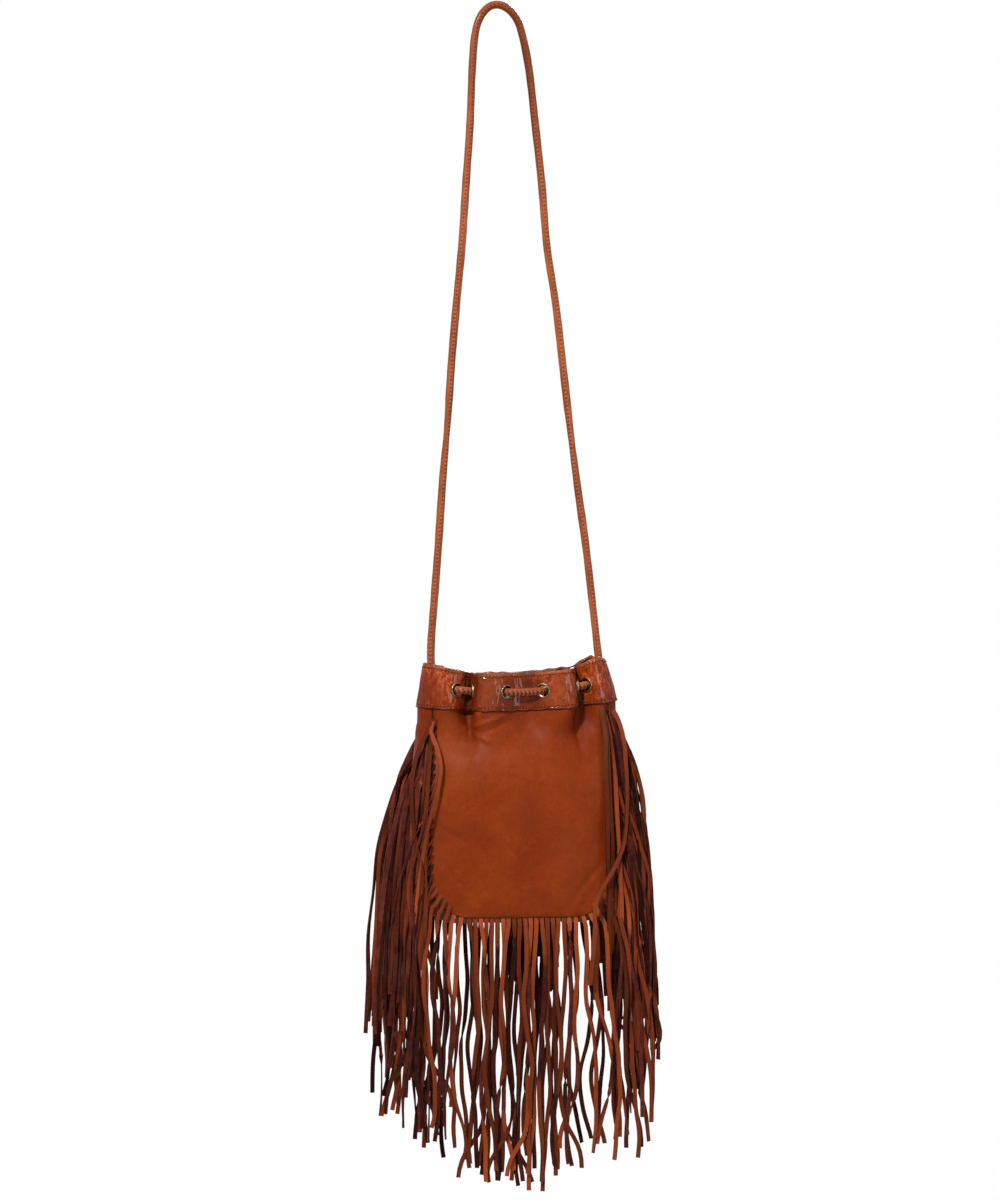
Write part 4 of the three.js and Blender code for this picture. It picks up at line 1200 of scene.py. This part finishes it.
strays = {
    "frontLeft": [
        ([(-57, -20, -606), (-60.5, -28, -614), (-56, -33, -628), (-53.5, -36, -644), (-56, -38, -660),
          (-62, -39, -682), (-68, -39, -710), (-73, -38, -750), (-76, -37, -796), (-74, -36, -838)], 0.85),
        ([(-58, -21, -608), (-66, -29, -618), (-74, -33, -636), (-78, -35, -664), (-75, -37, -704),
          (-70, -39, -730), (-72, -38, -766), (-77, -37, -800), (-74, -36, -842)], 0.8),
        ([(-63, -22, -640), (-80, -27, -680), (-91, -27, -730), (-97, -25, -790), (-98, -25, -844),
          (-93, -26, -872), (-84, -27, -892), (-72, -28, -909), (-59, -28, -927)], 0.95),
        ([(-62, -22, -660), (-76, -28, -700), (-86, -28, -760), (-88, -27, -830), (-86, -28, -866),
          (-90, -29, -888), (-96, -30, -912), (-103, -30, -936)], 0.95),
    ],
    "frontRight": [
        ([(97, -20, -597), (100, -29, -606), (103, -36, -622), (104, -38, -640), (105, -39, -662),
          (104, -40, -694), (101, -41, -712), (93, -42, -730), (82, -43, -748), (77, -43, -762),
          (77, -43, -780), (75, -42, -806), (73, -41, -828)], 0.72),
        ([(103, -22, -640), (115, -25, -690), (122, -24, -750), (125, -22, -810), (129, -22, -842),
          (134, -22, -858), (137, -22, -871), (135, -22, -881), (129, -22, -886)], 0.7),
    ],
}


# short offcuts that hang inside, in the shade of the others
offcuts = dict(count=15, start=9, step=2.8, top=-774, low=-824, depth=14, points=6)


def offcutLines(face, rng):
    c = offcuts
    lines = []
    for n in range(c["count"]):
        low = c["low"] + rng.uniform(-14, 20)
        x = c["start"] + c["step"] * n + np.cumsum(rng.normal(0, 0.7, c["points"]))
        z = np.linspace(c["top"], low, c["points"])
        y = 0 * z + face * (c["depth"] + thongs["layerStep"] * (n % 4))
        lines.append(strayLine(np.stack([x, y, z], 1), rng, rng.uniform(0.75, 1.1), math.pi))
    return lines


bunches = {
    "Left": dict(count=13, start=-58.5, step=-0.45, top=-604, drop=2.3, near=-9, spread=-3.0, tan=2, every=2),
    "Right": dict(count=15, start=87, step=0.8, top=-593, drop=0.9, near=3, spread=1.75, tan=3, every=3),
}


def bunchLines(part, face, rng):
    # thongs laced close together at the top of a seam, hanging over the ones below
    c = bunches[part]
    lines = []
    for n in range(c["count"]):
        top = c["top"] - c["drop"] * n
        fall = np.array([0, 9, 25, 48, 84, 120, 158, 195, rng.uniform(205, 262)])
        out = np.array([0, 0.14, 0.36, 0.55, 0.74, 0.84, 0.91, 0.97, 1])
        depth = np.array([18, 22, 29, 33, 36, 37, 37, 36, 35]) - thongs["layerStep"] * (n % 4) * out
        sway = rng.normal(0, 1.5, 9) * np.linspace(0, 1, 9)
        x = c["start"] + c["step"] * n + out * (c["near"] + c["spread"] * n) + sway
        turned = 0 if n < c["tan"] or n % c["every"] == 1 else math.pi
        width = rng.uniform(0.85, 1.15)
        lines.append(strayLine(np.stack([x, face * depth, top - fall], 1), rng, width, turned))
    return lines


def seamStations():
    side = list(np.arange(5, sideLength - 2, 7.6))
    side += [sideLength + arcLength * (i + 0.5) / 9 for i in range(9)]
    low = [sideLength + arcLength + 2 * flatHalf * (i + 0.5) / 18 for i in range(18)]
    return {"Left": side, "Bottom": low, "Right": [seamLength - l for l in reversed(side)]}


def makeFringe(label, face, part, stations, start):
    rng = np.random.default_rng(1000 + start)
    lines = []
    for i, length in enumerate(stations):
        nx = seamAt(length)[2]
        order = i if nx > 0.02 else len(stations) - 1 - i
        layer = order % (thongs["sideLayers"] if abs(nx) > 0.3 else thongs["lowLayers"])
        lines.append(thongLine(length, start + i, layer, face, rng))
    for points, width in strays.get(label + part, []):
        lines.append(strayLine(points, rng, width))
    lines += offcutLines(face, rng) if part == "Bottom" else bunchLines(part, face, rng)
    name = "thongs" + label.capitalize() + part
    curve = splineObject(name + "Line", *zip(*lines))
    mesh = bakeNodes(curve, thongTree, {
        "Width": thongs["width"] * mm, "Thickness": thongs["thick"] * mm, "Seed": start + 3,
        "Grain Side": grainSide, "Flesh Side": fleshSide}, name, 50)
    addPiece(name, mesh, [], [f"fringe_{label}_{part.lower()}"])
    print(name, len(mesh.polygons))


for label, face, base in (("front", -1, 0), ("back", 1, 140)):
    for (part, stations), offset in zip(seamStations().items(), (0, 30, 50)):
        makeFringe(label, face, part, stations, base + offset)


# stitches on the collar and down the seam of the cord
stitchSettings = dict(pitch=0.0027, length=0.0018, thread=0.00045, seamLength=0.0019, seamThread=0.0003)


def collarLine(fromLow, lift):
    k = np.linspace(0, planCount, 500, endpoint=False)
    height = collarHeight(k)
    s = fromLow / height if fromLow > 0 else 1 + fromLow / height
    return collarWorn(k, s, bag["collarWall"] / 2 + lift)


lines = [collarLine(collarSettings["stitchLow"], 0.02), collarLine(-collarSettings["stitchTop"] - 0.4, 0.0)]
stitchCurve = splineObject("collarStitchLine", lines, closed=True)
stitchMesh = bakeNodes(stitchCurve, stitchTree, {
    "Pitch": stitchSettings["pitch"], "Length": stitchSettings["length"], "Thread": stitchSettings["thread"],
    "Material": thread}, "collarStitches")
addPiece("collarStitches", stitchMesh, [thread], [])
cordStitchCurve = splineObject("cordStitchLine", [(cordPath + cordSeam)[2:-2]])
cordStitchMesh = bakeNodes(cordStitchCurve, stitchTree, {
    "Pitch": cordSettings["seamPitch"] * mm, "Length": stitchSettings["seamLength"],
    "Thread": stitchSettings["seamThread"], "Material": thread}, "cordStitches")
addPiece("cordStitches", cordStitchMesh, [thread], [])
print("stitches")


# white studio
studio = dict(floorZ=-1.65, floorSize=6, floorGlow=0.5, ambient=0.025, aimX=0.02)
floorMesh = bpy.data.meshes.new("studioFloor")
h = studio["floorSize"] / 2
floorCorners = [(x, y, studio["floorZ"]) for x, y in ((-h, -h), (h, -h), (h, h), (-h, h))]
floorMesh.from_pydata(floorCorners, [], [(0, 1, 2, 3)])
studioFloor = bpy.data.objects.new("studioFloor", floorMesh)
scene.collection.objects.link(studioFloor)
floorMat = bpy.data.materials.new("paperWhite")
floorMat.use_nodes = True
paper = floorMat.node_tree
# pale to the eye, and no extra light on the bag
seenBy = addNode(paper, "ShaderNodeLightPath").outputs["Is Camera Ray"]
fill(paper, paper.nodes["Principled BSDF"], {
    "Base Color": (0.9, 0.9, 0.9, 1), "Roughness": 0.9, "Emission Color": (1, 1, 1, 1),
    "Emission Strength": times(paper, seenBy, studio["floorGlow"])})
floorMesh.materials.append(floorMat)

world = bpy.data.worlds.new("studioWorld")
scene.world = world
world.use_nodes = True
sky = world.node_tree
back = fill(sky, sky.nodes["Background"], {"Color": (0.86, 0.9, 1.0, 1), "Strength": studio["ambient"]})
white = addNode(sky, "ShaderNodeBackground", {"Color": (1, 1, 1, 1), "Strength": 1.0})
# the camera and mirror-like reflections see the white paper
rays = addNode(sky, "ShaderNodeLightPath").outputs
seen = mathNode(sky, "MAXIMUM", rays["Is Camera Ray"], rays["Is Glossy Ray"])
seen = mathNode(sky, "MAXIMUM", seen, rays["Is Transmission Ray"])
pick = addNode(sky, "ShaderNodeMixShader", {0: seen, 1: back.outputs[0], 2: white.outputs[0]})
fill(sky, sky.nodes["World Output"], {"Surface": pick.outputs[0]})

lampSettings = [
    dict(name="keyLamp", at=(-1.15, -1.9, 0.95), aimZ=-0.7, size=0.32, power=68, colour=(1, 0.97, 0.93)),
    dict(name="fillLamp", at=(1.8, -1.9, -0.2), aimZ=-0.75, size=0.7, power=13, colour=(1, 0.97, 0.94)),
    dict(name="topLamp", at=(0.15, -0.45, 0.7), aimZ=-0.6, size=0.3, power=5, colour=(1, 1, 1)),
    dict(name="backLamp", at=(0.9, 2.0, 0.6), aimZ=-0.75, size=0.5, power=48, colour=(1, 0.97, 0.94)),
]
for spec in lampSettings:
    data = bpy.data.lights.new(spec["name"], "AREA")
    data.shape = "SQUARE"
    data.size = spec["size"]
    data.energy = spec["power"]
    data.color = spec["colour"]
    lamp = bpy.data.objects.new(spec["name"], data)
    scene.collection.objects.link(lamp)
    lamp.location = spec["at"]
    lamp.rotation_mode = "QUATERNION"
    aim = Vector((studio["aimX"], 0, spec["aimZ"]))
    lamp.rotation_quaternion = (aim - Vector(spec["at"])).to_track_quat("-Z", "Y")
scene.view_settings.view_transform = "Standard"
